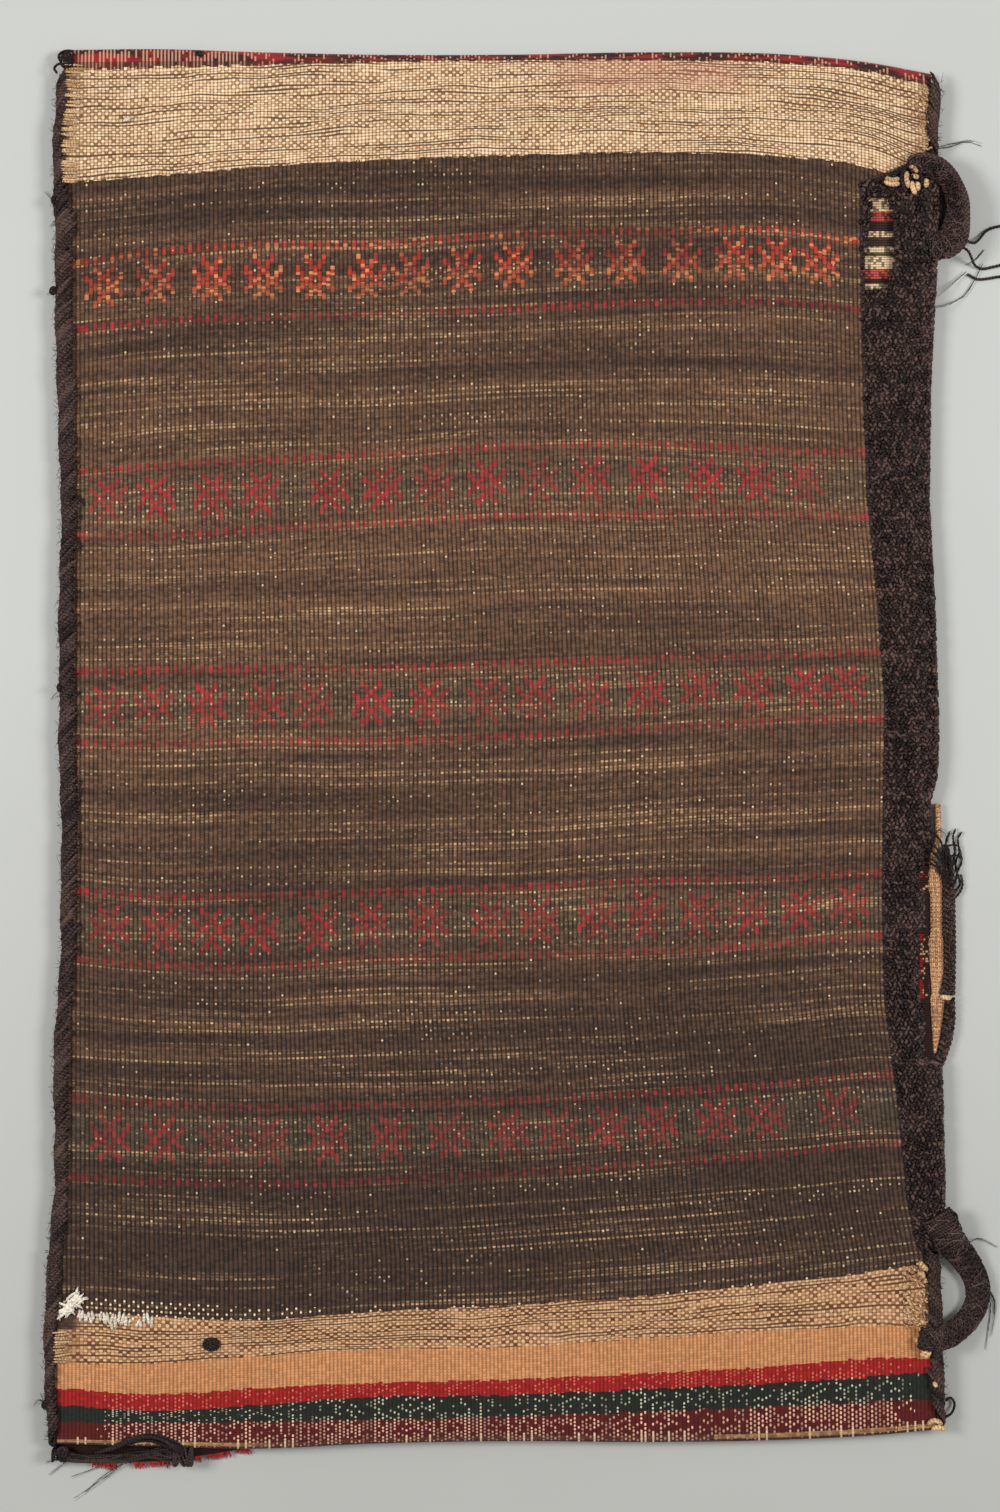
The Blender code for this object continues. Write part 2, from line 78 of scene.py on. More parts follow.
side_light("left_light", (-2.4, 0.35, 2.2), LAMP_POWER, LAMP_SIZE)
side_light("right_light", (2.4, 0.35, 2.5), LAMP_POWER, LAMP_SIZE)
world = bpy.data.worlds.new("room")
world.use_nodes = True
world.node_tree.nodes["Background"].inputs["Color"].default_value = (1.0, 0.985, 0.96, 1.0)
world.node_tree.nodes["Background"].inputs["Strength"].default_value = ROOM_LIGHT
bpy.context.scene.world = world


class Wire:
    """A shader socket. Sums, products and comparisons of wires add the Math nodes that work them out."""

    def __init__(self, tree, socket):
        self.tree = tree
        self.socket = socket

    def math(self, operation, *others):
        """The result of one Math node on this wire and the others."""
        node = self.tree.nodes.new("ShaderNodeMath")
        node.operation = operation
        for place, value in enumerate((self, *others)):
            plug(self.tree, node.inputs[place], value)
        return Wire(self.tree, node.outputs[0])

    def fixed(self, value):
        """A wire that carries one number."""
        node = self.tree.nodes.new("ShaderNodeValue")
        node.outputs[0].default_value = value
        return Wire(self.tree, node.outputs[0])

    def __add__(self, other):
        return self.math("ADD", other)

    __radd__ = __add__

    def __mul__(self, other):
        return self.math("MULTIPLY", other)

    __rmul__ = __mul__

    def __sub__(self, other):
        return self.math("SUBTRACT", other)

    def __rsub__(self, other):
        return self.fixed(other).math("SUBTRACT", self)

    def __truediv__(self, other):
        return self.math("DIVIDE", other)

    def __lt__(self, other):
        return self.math("LESS_THAN", other)

    def __gt__(self, other):
        return self.math("GREATER_THAN", other)

    def __abs__(self):
        return self.math("ABSOLUTE")

    def floor(self):
        """The whole number at or just below the value."""
        return self.math("FLOOR")

    def even(self):
        """1 where a whole number is even, and 0 where it is odd."""
        return 1 - self.math("FLOORED_MODULO", 2.0)

    def rise(self, start, end):
        """A smooth step from 0 at start to 1 at end."""
        node = self.tree.nodes.new("ShaderNodeMapRange")
        node.interpolation_type = "SMOOTHSTEP"
        for place, value in enumerate((self, start, end)):
            plug(self.tree, node.inputs[place], value)
        return Wire(self.tree, node.outputs[0])


def plug(tree, socket, value):
    """Gives a socket its value, or its link when the value is a wire."""
    if isinstance(value, Wire):
        tree.links.new(value.socket, socket)
    else:
        socket.default_value = value


def paint(red, green, blue):
    """A colour as it looks, from 0 to 255, as the linear values that a shader takes."""
    seen = np.array([red, green, blue]) / 255
    linear = np.where(seen <= 0.04045, seen / 12.92, ((seen + 0.055) / 1.055) ** 2.4)
    return (*linear, 1.0)


class Finish:
    """A material on the Principled shader, with the nodes that colour and roughen it."""

    def __init__(self, name, roughness, sheen=0.0):
        self.material = bpy.data.materials.new(name)
        self.material.use_nodes = True
        self.tree = self.material.node_tree
        self.shader = self.tree.nodes["Principled BSDF"]
        self.shader.inputs["Roughness"].default_value = roughness
        self.shader.inputs["Specular IOR Level"].default_value = 0.25
        self.shader.inputs["Sheen Weight"].default_value = sheen

    def node(self, kind, settings=None, output=0, **values):
        """Any node: its settings first, then its sockets' values or links by name."""
        node = self.tree.nodes.new(kind)
        for key, value in (settings or {}).items():
            if key == "stops":
                self.stops(node.color_ramp, value)
            else:
                setattr(node, key, value)
        for key, value in values.items():
            plug(self.tree, node.inputs[key.replace("_", " ")], value)
        return Wire(self.tree, node.outputs[output])

    def stops(self, ramp, stops):
        """Sets a ramp's stops, given as places and colours."""
        while len(ramp.elements) < len(stops):
            ramp.elements.new(0.5)
        for element, (place, colour) in zip(ramp.elements, stops):
            element.position = place
            element.color = colour

    def parts(self, vector):
        """The three numbers of a vector."""
        split = self.tree.nodes.new("ShaderNodeSeparateXYZ")
        plug(self.tree, split.inputs[0], vector)
        return [Wire(self.tree, output) for output in split.outputs]

    def field(self, name):
        """The three numbers of a vector field that the mesh carries."""
        return self.parts(self.node("ShaderNodeAttribute", {"attribute_name": name}, output=1))

    def join(self, x, y, z=0.0):
        """A vector of three numbers."""
        return self.node("ShaderNodeCombineXYZ", X=x, Y=y, Z=z)

    def noise(self, vector, scale=1.0, detail=2.0):
        """Smooth noise from 0 to 1, near 0.5 on average."""
        return self.node("ShaderNodeTexNoise", Vector=vector, Scale=scale, Detail=detail)

    def dice(self, x, y, z=0.0):
        """One random number from 0 to 1 for each set of whole numbers."""
        return self.node("ShaderNodeTexWhiteNoise", {"noise_dimensions": "3D"}, Vector=self.join(x, y, z))

    def mix(self, share, first, second):
        """A colour between two colours."""
        node = self.tree.nodes.new("ShaderNodeMix")
        node.data_type = "RGBA"
        for place, value in ((0, share), (6, first), (7, second)):
            plug(self.tree, node.inputs[place], value)
        return Wire(self.tree, node.outputs[2])

    def brighten(self, colour, amount):
        """A colour times a number."""
        node = self.tree.nodes.new("ShaderNodeVectorMath")
        node.operation = "SCALE"
        plug(self.tree, node.inputs[0], colour)
        plug(self.tree, node.inputs["Scale"], amount)
        return Wire(self.tree, node.outputs[0])

    def dress(self, colour, height=None, depth=0.3):
        """Links the colour, and a height from 0 to 1 as a bump of that depth in millimetres."""
        plug(self.tree, self.shader.inputs["Base Color"], colour)
        if height is not None:
            bump = self.node("ShaderNodeBump", Height=height, Distance=depth * MM, Strength=1.0)
            plug(self.tree, self.shader.inputs["Normal"], bump)
        return self.material


def make_mesh(name, points, faces, finish, **fields):
    """An object from points in millimetres. Each field is a number or vector for each point."""
    mesh = bpy.data.meshes.new(name)
    mesh.from_pydata(np.asarray(points) * MM, [], faces)
    mesh.materials.append(finish)
    mesh.shade_smooth()
    for key, values in fields.items():
        values = np.asarray(values, np.float32)
        kind, member = ("FLOAT", "value") if values.ndim == 1 else ("FLOAT_VECTOR", "vector")
        mesh.attributes.new(key, kind, "POINT").data.foreach_set(member, values.ravel())
    piece = bpy.data.objects.new(name, mesh)
    bpy.context.scene.collection.objects.link(piece)
    return piece


FLOOR_SPAN = 30000.0
floor_finish = Finish("floor_paint", 0.6)
floor_place = floor_finish.node("ShaderNodeTexCoord", output=3)
floor_cloud = floor_finish.noise(floor_place, 3.0, 3.0) * 0.5
# Painted shade: the floor's colour darkens towards the bottom of the view, standing in for the lamps' light
# falling off there
floor_painted_falloff = floor_finish.parts(floor_place)[1].rise(-0.55, 0.2) * 0.75
floor_colour = floor_finish.mix(floor_cloud + floor_painted_falloff, paint(178, 178, 174), paint(201, 203, 199))
half = FLOOR_SPAN / 2
floor = make_mesh(
    "floor",
    [(-half, -half, 0), (half, -half, 0), (half, half, 0), (-half, half, 0)],
    [(0, 1, 2, 3)],
    floor_finish.dress(floor_colour),
)

# The folded cloth: one woven length of wool whose back is a ribbed flatweave with star rows between
# guard lines, a cream band and stripes at each end. It turns over at the fold, and its other half, below,
# carries the knotted pile. The stripes wave as they were beaten in, so they are drawn on a woven grid.
PILE = 4.0
FOUNDATION = 2.0
INSIDE = 0.9
BACK = 2.0
END_STRIP = 26.0
PILE_SLOPE = 22.0
FOLD_RADIUS = (FOUNDATION + INSIDE + BACK) / 2
STRIP_RUNS = (10.0, 20.0, 30.0)
FLOOR_GAP = 0.05
CLASP = 2.4
LEFT_REACH = 13.0
CLASP_SLOPE = 20.0

# Edges by place up the bag: the bag's two sides, the flatweave's right edge, and the dark field's
LEFT_SIDE = ((-430, -291), (-398, -294), (-361, -294), (-312, -292.5), (-268, -287.5), (-193, -288.5))
LEFT_SIDE += ((-119, -284), (-54, -283.5), (11, -285), (86, -285), (160, -283.5), (234, -286.5))
LEFT_SIDE += ((309, -287.5), (383, -288.5), (428, -286))
RIGHT_SIDE = ((-430, 265.5), (-398, 266), (-361, 264), (-312, 263), (-268, 264), (-193, 262.5))
RIGHT_SIDE += ((-119, 260), (-54, 258.5), (11, 260), (86, 258), (160, 254), (234, 255))
RIGHT_SIDE += ((309, 260), (383, 261.5), (428, 264))
BACK_EDGE = ((-430, 260), (-361, 258), (-312.5, 257), (-303.5, 248), (-274, 242.5), (-212, 236))
BACK_EDGE += ((-150, 228), (-88, 227), (36, 228), (98, 223.5), (160, 217.5), (222, 215), (284, 213.5))
BACK_EDGE += ((357.5, 212.5), (359.5, 224), (364.5, 237), (370.5, 247), (375.5, 255), (428, 257))
FIELD_EDGE = ((-430, 252), (-355, 250.7), (-312, 249.5), (-275, 242), (-213, 235.8), (-151, 227.8))
FIELD_EDGE += ((-89, 226.5), (35, 227.8), (97, 223.4), (159, 217.2), (221, 214.8), (283, 213.5))
FIELD_EDGE += ((364, 212.3), (440, 212))
CLOTH_INSET = 4.1

# Lines of the weave by place across the bag, from the hem up to the fold
ACROSS = (-274, -228, -160, -92, -5, 82, 169, 212, 262)
MIDDLE = 4
LINES = {
    "hem": (-426, -427, -428.5, -425.5, -424, -424.5, -423, -421, -417),
    "maroon_top": (-412, -412, -411, -410, -408, -405, -401, -399, -397),
    "green_top": (-402, -405, -401, -396, -395, -391, -387, -384, -380),
    "red_top": (-392, -395, -391, -388, -386, -382, -377, -373, -373),
    "tan_top": (-376, -376, -371, -367, -366, -360, -355, -353, -353),
    "lower_cream_top": (-344, -347, -349, -344, -340, -334, -325, -320, -313),
    "guard_1": (-260, -263, -265, -263, -258, -252, -245, -240, -240),
    "stars_1": (-237, -237, -238, -235, -233, -229, -223, -220, -220),
    "guard_2": (-211, -214, -217, -216, -213, -208, -202, -197, -197),
    "guard_3": (-125, -129, -130, -126, -123, -121, -115, -111, -111),
    "stars_2": (-106, -106, -107, -102, -102, -97, -95, -92, -92),
    "guard_4": (-83, -87, -86, -84, -81, -77, -75, -72, -72),
    "guard_5": (9, 8, 10, 10, 13, 18, 23, 24, 24),
    "stars_3": (29, 30, 32, 34, 36, 40, 43, 44, 44),
    "guard_6": (53, 54, 55, 55, 58, 61, 63, 65, 65),
    "guard_7": (137, 137, 141, 145, 150, 150, 151, 149, 149),
    "stars_4": (160, 163, 165, 167, 171, 174, 171, 169, 169),
    "guard_8": (176, 180, 184, 187, 193, 194, 190, 189, 189),
    "guard_9": (265, 270, 273, 275, 278, 282, 282, 278, 278),
    "stars_5": (291, 294, 295, 295, 305, 307, 308, 303, 303),
    "guard_10": (306, 313, 318, 318, 324, 326, 326, 320, 320),
    "field_top": (357, 360, 366, 370, 373, 375, 372, 367, 350),
    "cream_top": (427, 428, 430, 432, 433, 433, 431, 427, 415),
    "fold": (440, 440.5, 438.5, 437, 437, 438.5, 437, 433, 424),
}
ROW_STEP = 8.6

# Ribs: their number across the dark field, and the rib at the middle of each star, row by row
RIBS = 182
FIELD_LEFT = -274.0
STEPS_A_RIB = 4
OUTER_RIBS = 16
COARSE_ROWS = 9
COARSE_COLUMNS = 24
STARS = {
    "stars_1": (7, 19, 31, 42, 55, 69, 82, 95, 106, 117, 128, 141, 152, 168),
    "stars_2": (7, 19, 30, 41, 54, 66, 79, 93, 104, 117, 128, 140, 151, 163, 174),
    "stars_3": (6, 17, 29, 42, 53, 66, 79, 92, 103, 115, 128, 140, 152, 164, 173),
    "stars_4": (7, 18, 31, 42, 58, 70, 82, 94, 106, 118, 131, 144, 156, 167),
    "stars_5": (6, 18, 31, 43, 55, 67, 77, 89, 101, 115, 127, 140, 152, 162, 172),
}
RIB_RISE = 0.34
GRID_ROUNDS = 30
GRID_STEP = 0.35

# Heights of the rows of weft, of the star chart and of the pale dots, and the fine ribs to a rib
BEAT = 1.75
DOT_ROW = 2.6
STAR_ROW = 2.95
CREAM_ROW = 1.7
CHAIN_ROW = 2.05
FINE_RIBS = 1.19
# Heights up the cloth where the cream bands and the stripes at the mouth begin and end
LOWER_CREAM = (-366.0, -340.0)
UPPER_CREAM = (373.0, 433.0)
TAN_LOW = -386.0
RED_LOW = -395.6
GREEN_LOW = -408.8


def along(table, at):
    """Values at the places asked for, on smooth cubic pieces through a table of places and values."""
    places, values = np.array(table, float).T
    slopes = np.gradient(values, places)
    piece = np.clip(np.searchsorted(places, at) - 1, 0, len(places) - 2)
    width = places[piece + 1] - places[piece]
    share = np.clip((at - places[piece]) / width, 0, 1)
    square, cube = share**2, share**3
    near = (2 * cube - 3 * square + 1) * values[piece] + (cube - 2 * square + share) * width * slopes[piece]
    far = (3 * square - 2 * cube) * values[piece + 1] + (cube - square) * width * slopes[piece + 1]
    return near + far


def straight(table, at):
    """Values at the places asked for, on straight lines through a table."""
    places, values = np.array(table, float).T
    return np.interp(at, places, values)


def ease(value, start, end):
    """0 up to start, 1 past end, and a smooth step between them."""
    share = np.clip((value - start) / (end - start), 0.0, 1.0)
    return share * share * (3 - 2 * share)


def pressed(x, y, right_side):
    """1 where an overcast edge holds the layers together, and 0 on the open cloth."""
    nearest = np.minimum(x - straight(LEFT_SIDE, y), straight(right_side, y) - x)
    return 1 - ease(nearest, LEFT_REACH - 4, LEFT_REACH + CLASP_SLOPE)


def line_height(name, x):
    """Height up the bag of a line of the weave, at each place across."""
    return along(list(zip(ACROSS, LINES[name])), x)


def face_levels(x, y):
    """Underside and top of the lower run: flat foundation by the fold, and pile below it elsewhere."""
    pile = ease(line_height("fold", x) - y, END_STRIP, END_STRIP + PILE_SLOPE)
    held = pressed(x, y, RIGHT_SIDE)
    low = CLASP * held
    return low, np.maximum(FOUNDATION + PILE * pile - 0.5 * held * pile, low + FOUNDATION)


def back_levels(x, y):
    """Underside and top of the upper run: the lower run's top, a gap, and a low swell of the open cloth."""
    wave = np.sin(x / 74 + y / 160) * np.sin(y / 62 - x / 210 + 0.8)
    open_cloth = 1 - pressed(x, y, BACK_EDGE)
    past_fold = ease(line_height("fold", x) - y, 4, 40)
    low = face_levels(x, y)[1] + INSIDE + 0.8 * (1 + wave) * open_cloth * past_fold
    hem = 1 - ease(y - line_height("hem", x), 3, 6)
    return low, low + BACK + 0.7 * hem


def weave_rows():
    """Nominal height of each row of the grid, its two lines and its share between them."""
    names = list(LINES)
    rows = []
    for lower, upper in zip(names, names[1:]):
        start, end = LINES[lower][MIDDLE], LINES[upper][MIDDLE]
        count = max(1, round((end - start) / ROW_STEP))
        rows += [(lower, upper, step / count) for step in range(count)]
    return rows + [(names[-2], names[-1], 1.0)]


def weave_grid():
    """Places and rib numbers of the back's grid: rows along the lines of the weave, columns along the ribs.

    A rib's place is its share of the dark field's width. Past the field's edge the columns run on to the
    cloth's own edge.
    """
    across_field = np.linspace(0, RIBS, RIBS * STEPS_A_RIB + 1)
    ribs = np.concatenate([(-1.0, -0.5), across_field, RIBS + np.arange(1, OUTER_RIBS + 1)])
    rows = weave_rows()
    nominal = np.array(
        [(1 - share) * LINES[lower][MIDDLE] + share * LINES[upper][MIDDLE] for lower, upper, share in rows]
    )
    y = np.repeat(nominal[:, None], len(ribs), axis=1)
    # Each place across depends on the place up, and the other way round, so both are found step by step
    for _ in range(GRID_ROUNDS):
        edge = straight(FIELD_EDGE, y)
        x = FIELD_LEFT + ribs / RIBS * (edge - FIELD_LEFT)
        beyond = np.clip(ribs - RIBS, 0, OUTER_RIBS) / OUTER_RIBS
        x = np.where(ribs > RIBS, edge + beyond * (straight(BACK_EDGE, y) - edge), x)
        inset = straight(LEFT_SIDE, y) + CLOTH_INSET
        x = np.where(ribs < 0, FIELD_LEFT - ribs * (inset - FIELD_LEFT), x)
        found = [
            (1 - share) * line_height(lower, x[place]) + share * line_height(upper, x[place])
            for place, (lower, upper, share) in enumerate(rows)
        ]
        y = y + GRID_STEP * (np.stack(found) - y)
    count = (x - FIELD_LEFT) / (straight(FIELD_EDGE, y) - FIELD_LEFT) * RIBS
    return x, y, count, np.repeat(nominal[:, None], len(ribs), axis=1)


def grid_faces(rows, columns):
    """Quads of a grid of points, row by row."""
    here = (np.arange(rows - 1)[:, None] * columns + np.arange(columns - 1)[None, :]).ravel()
    return np.stack([here, here + 1, here + columns + 1, here + columns], axis=1)


def thick_sheet(name, outer, inner, keep_rows, keep_columns, finish, **fields):
    """A closed sheet: a fine outer grid, a coarse inner one on the kept rows and columns, and its edges."""
    rows, columns, _ = outer.shape
    faces = grid_faces(rows, columns).tolist()
    number = rows * columns + np.arange(len(keep_rows) * len(keep_columns))
    number = number.reshape(len(keep_rows), len(keep_columns))
    coarse = grid_faces(len(keep_rows), len(keep_columns))[:, ::-1] + rows * columns
    faces += coarse.tolist()
    fine = np.arange(rows * columns).reshape(rows, columns)
    for place, (start, end) in enumerate(zip(keep_rows, keep_rows[1:])):
        left = list(fine[start : end + 1, 0])
        faces.append(left + [number[place + 1, 0], number[place, 0]])
        right = list(fine[start : end + 1, -1])
        faces.append(right[::-1] + [number[place, -1], number[place + 1, -1]])
    for place, (start, end) in enumerate(zip(keep_columns, keep_columns[1:])):
        first = list(fine[0, start : end + 1])
        faces.append(first[::-1] + [number[0, place], number[0, place + 1]])
        last = list(fine[-1, start : end + 1])
        faces.append(last + [number[-1, place + 1], number[-1, place]])
    picked = inner[np.ix_(keep_rows, keep_columns)].reshape(-1, 3)
    points = np.concatenate([outer.reshape(-1, 3), picked])
    both = {}
    for key, values in fields.items():
        kept = values[np.ix_(keep_rows, keep_columns)]
        both[key] = np.concatenate([values.reshape(rows * columns, -1), kept.reshape(len(picked), -1)])
    return make_mesh(name, points, faces, finish, **both)


def flatweave_finish():
    """Wool flatweave. Field `weave` holds the rib number, the height up the cloth in millimetres and the
    distance from the cloth's nearer side. Field `marks` holds the distance to the nearest star's
    middle, in ribs across and in millimetres up, and the millimetres to the nearest guard line."""
    cloth = Finish("flatweave_wool", 0.92, sheen=0.15)
    rib, up, side = cloth.field("weave")
    star_x, star_y, guard = cloth.field("marks")

    # A rib's own number, and the place across it from 0 to 1
    thread = rib.floor()
    place = rib - thread
    crown = 1 - abs(place * 2 - 1)
    thread_dice = cloth.dice(thread, 3.0)
    ragged = up + (thread_dice - 0.5) * 1.3
    slow = cloth.noise(cloth.join(rib * 0.013, up * 0.009), 1.0, 2.0)
    wavy = up + (slow - 0.5) * 9.0

    # Streaks of browner and darker weft, long across the cloth and a few rows high
    fine_streak = cloth.noise(cloth.join(rib * 0.02, wavy * 0.42), 1.0, 3.0)
    broad_streak = cloth.noise(cloth.join(rib * 0.011 + 40.0, wavy * 0.085), 1.0, 2.0)
    height_share = (up + 430.0) / 880.0
    tone = cloth.node(
        "ShaderNodeValToRGB",
        {
            "stops": [
                (0.0, (0.24, 0.24, 0.24, 1)),
                (0.16, (0.18, 0.18, 0.18, 1)),
                (0.32, (0.46, 0.46, 0.46, 1)),
                (0.55, (0.62, 0.62, 0.62, 1)),
                (0.66, (0.72, 0.72, 0.72, 1)),
                (0.80, (0.52, 0.52, 0.52, 1)),
                (0.92, (0.42, 0.42, 0.42, 1)),
            ]
        },
        Fac=height_share,
    )
    streak = fine_streak * 0.45 + broad_streak * 0.62 - 0.035 + (tone - 0.5) * 0.6
    brown = cloth.mix(streak.rise(0.30, 0.80), paint(64, 47, 38), paint(114, 82, 60))
    near_star = (1 - star_y.rise(9.0, 17.0)) * (1 - up.rise(180.0, 260.0))
    brown = cloth.mix(near_star * 0.4, brown, paint(84, 76, 58))

    # Weft beats: each rib shows a row of small beads, each in its own tone. Painted shade: the crown and
    # bead terms darken the colour in the grooves between ribs and between beads
    beat = up / BEAT + thread.even() * 0.5
    bead = beat.floor()
    bead_place = beat - bead
    bead_dice = cloth.dice(thread, bead)
    bead_round = 1 - abs(bead_place * 2 - 1)
    shade = 0.22 + crown.rise(0.05, 0.75) * 0.86 + (bead_dice - 0.5) * 0.62 + bead_round * 0.3
    # Rows of golden weft lie between calm darker ones and wander a little up and down
    gold = wavy / BEAT
    gold_row = gold.floor()
    gold_round = (1 - abs((gold - gold_row) * 2 - 1)).rise(0.1, 0.6)
    gold_noise = cloth.noise(cloth.join(rib * 0.02 + 20.0, gold_row * 0.91), 1.0, 1.0)
    gold_light = cloth.dice(thread, gold_row, 29.0)
    gold_share = gold_noise.rise(0.5, 0.66) * broad_streak.rise(0.36, 0.58) * streak.rise(0.05, 0.45)
    golden = gold_share * (0.2 + 0.8 * gold_light * gold_light) * gold_round * crown.rise(0.1, 0.6)
    brown = cloth.mix(golden * (0.95 - up.rise(330.0, 370.0) * 0.6), brown, paint(200, 164, 116))
    field = cloth.brighten(brown, shade.math("MAXIMUM", 0.15))

    # Pale warp that shows through as small dots on every other rib: in worn rows, in worn patches, singly
    dot_beat = up / DOT_ROW
    dot_row = dot_beat.floor()
    dot_place = dot_beat - dot_row
    parity = (thread + dot_row).even()
    dot_dice = cloth.dice(thread, dot_row, 7.0)
    row_noise = cloth.noise(cloth.join(rib * 0.016, dot_row * 0.77 + slow * 3.0), 1.0, 1.0)
    worn = cloth.noise(cloth.join(rib * 0.045, up * 0.02), 1.0, 2.0).rise(0.48, 0.75)
    dot_share = row_noise.rise(0.56, 0.68) * 0.8 + worn * 0.24
    dot_share = dot_share + near_star * 0.3 + streak.rise(0.5, 0.8) * 0.1
    across_dot = abs(place - 0.5) * 3.9
    up_dot = abs(dot_place - 0.5) * 3.4
    dot_shape = 1 - (across_dot * across_dot + up_dot * up_dot).rise(0.35, 1.1)
    dot_light = cloth.dice(thread, dot_row, 17.0)
    dots = dot_shape * parity * (dot_dice < dot_share) * (0.3 + 0.7 * dot_light)
    single = dot_shape * (cloth.dice(thread, dot_row, 19.0) < 0.004)
    dot_colour = cloth.mix(dot_light.rise(0.5, 1.0), paint(156, 128, 98), paint(210, 184, 146))
    field = cloth.mix(dots, field, dot_colour)
    field = cloth.mix(single * 0.9, field, paint(232, 208, 170))

    # Stars: a chart of marks a rib wide, folded about the star's middle both ways
    column = (star_x + 0.5).floor()
    star_row = star_y / STAR_ROW
    inner = abs(abs(star_row - 2) - column)
    outer = abs(star_row - 2 + (column < 3.5))
    chart = inner + (column > 2.5) * (outer - inner)
    star = (chart < 0.82) * (column < 4.5) * (star_y < 14.2)
    dash = (guard < 2.4) * (1 - (1 - thread.even()) * (side > 7.0))
    fade = cloth.noise(cloth.join(rib * 0.045 + 9.0, up * 0.02), 1.0, 2.0).rise(0.28, 0.64)
    mark_dice = cloth.dice(thread, (up / 2.9).floor(), 5.0)
    mark = (star + dash * (1 - star) * 0.85) * (0.42 + 0.58 * fade) * (0.7 + 0.3 * mark_dice)
    mark = mark * (0.74 + up.rise(-260.0, -60.0) * 0.26) * (0.8 + bead_dice * 0.25)
    mark = mark * crown.rise(-0.35, 0.2)
    first_row = up.rise(284.0, 285.0)
    orange = cloth.mix(up.rise(296.0, 309.0), paint(206, 96, 62), paint(204, 62, 46))
    orange = cloth.mix(bead_dice.rise(0.7, 0.9) * 0.6, orange, paint(240, 176, 112))
    crimson = cloth.mix(mark_dice, paint(150, 36, 44), paint(188, 54, 58))
    crimson = cloth.brighten(crimson, 0.8 + up.rise(-190.0, 60.0) * 0.2)
    red = cloth.mix(first_row, crimson, orange)
    # Painted shade on the marks too: darker in the grooves between ribs, and each bead in its own tone
    red = cloth.brighten(red, 0.62 + crown * 0.36 + (bead_dice - 0.5) * 0.3)
    field = cloth.mix(mark * (1 - dots * 0.75), field, red)

    # Cream bands: cream wefts over a brown warp as rows of dots, with dark crevices that wander between
    fine_rib = rib * FINE_RIBS
    fine_thread = fine_rib.floor()
    fine_place = fine_rib - fine_thread
    fine_crown = 1 - abs(fine_place * 2 - 1)
    ripple = cloth.noise(cloth.join(rib * 0.05, up * 0.05), 1.0, 2.0)
    rippled = up + (ripple - 0.5) * 7.0
    weft = rippled / CREAM_ROW
    weft_row = weft.floor()
    speck_side = abs(fine_place - 0.5) * 2.1
    speck_up = abs(weft - weft_row - 0.5) * 2.0
    speck = 1 - (speck_side * speck_side + speck_up * speck_up).rise(0.5, 1.3)
    speck_dice = cloth.dice(fine_thread, weft_row, 11.0)
    even_cell = (fine_thread + weft_row).even()
    lower_band = 1 - up.rise(-100.0, -99.0)
    patch = cloth.noise(cloth.join(rib * 0.05, rippled * 0.14), 1.0, 3.0).rise(0.42, 0.7)
    full = 0.34 + patch * 0.5 + (speck_dice - 0.5) * 0.4 - lower_band * 0.26
    pale = speck * (even_cell + (1 - even_cell) * full)
    parted = cloth.noise(cloth.join(rib * 0.03 + 7.0, (weft + 0.5).floor() * 0.83), 1.0, 1.0)
    crevice = abs(weft - weft_row - 0.5).rise(0.1, 0.36) * (parted + lower_band * 0.03).rise(0.5, 0.58)
    right_end = (rib > 90.0) * 8.0
    dark_side = (1 - (side - right_end).rise(-4.0, 12.0)) * (0.3 + 0.6 * lower_band)
    pale = pale * (1 - crevice * 0.95) * (1 - dark_side * 0.7) + 0.05
    cream = cloth.mix(speck_dice, paint(240, 198, 152), paint(255, 230, 190))
    cream = cloth.mix(lower_band * 0.62, cream, paint(204, 152, 104))
    dark_warp = cloth.mix(speck_dice, paint(98, 56, 32), paint(176, 124, 84))
    dark_warp = cloth.mix(crevice, dark_warp, paint(78, 44, 25))
    cream = cloth.mix(pale.math("MINIMUM", 1.0), dark_warp, cream)
    stain = rib.rise(106.0, 120.0) * (1 - rib.rise(148.0, 162.0)) * up.rise(408.0, 420.0)
    cream = cloth.mix(stain * 0.3, cream, paint(206, 128, 112))

    # Chains of pale dots: one for each fine rib and row, half a row lower on every other rib
    chain = up / CHAIN_ROW + fine_thread.even() * 0.5
    chain_row = chain.floor()
    chain_side = abs(fine_place - 0.5) * 3.2
    chain_up = abs(chain - chain_row - 0.5) * 2.5
    chain_dot = 1 - (chain_side * chain_side + chain_up * chain_up).rise(0.3, 1.15)
    chain_dice = cloth.dice(fine_thread, chain_row, 31.0)
    column_dice = cloth.dice(fine_thread, 37.0)

    # Stripes at the mouth: tan, red, green and maroon, the last three with chains away from the sides
    in_maroon = ragged < GREEN_LOW
    over_green = ragged > RED_LOW
    in_tan = ragged > TAN_LOW
    ground = cloth.mix(in_maroon, paint(33, 36, 29), paint(88, 22, 20))
    ground = cloth.mix(over_green, ground, paint(160, 28, 25))
    ground = cloth.mix(in_tan, ground, paint(206, 142, 93))
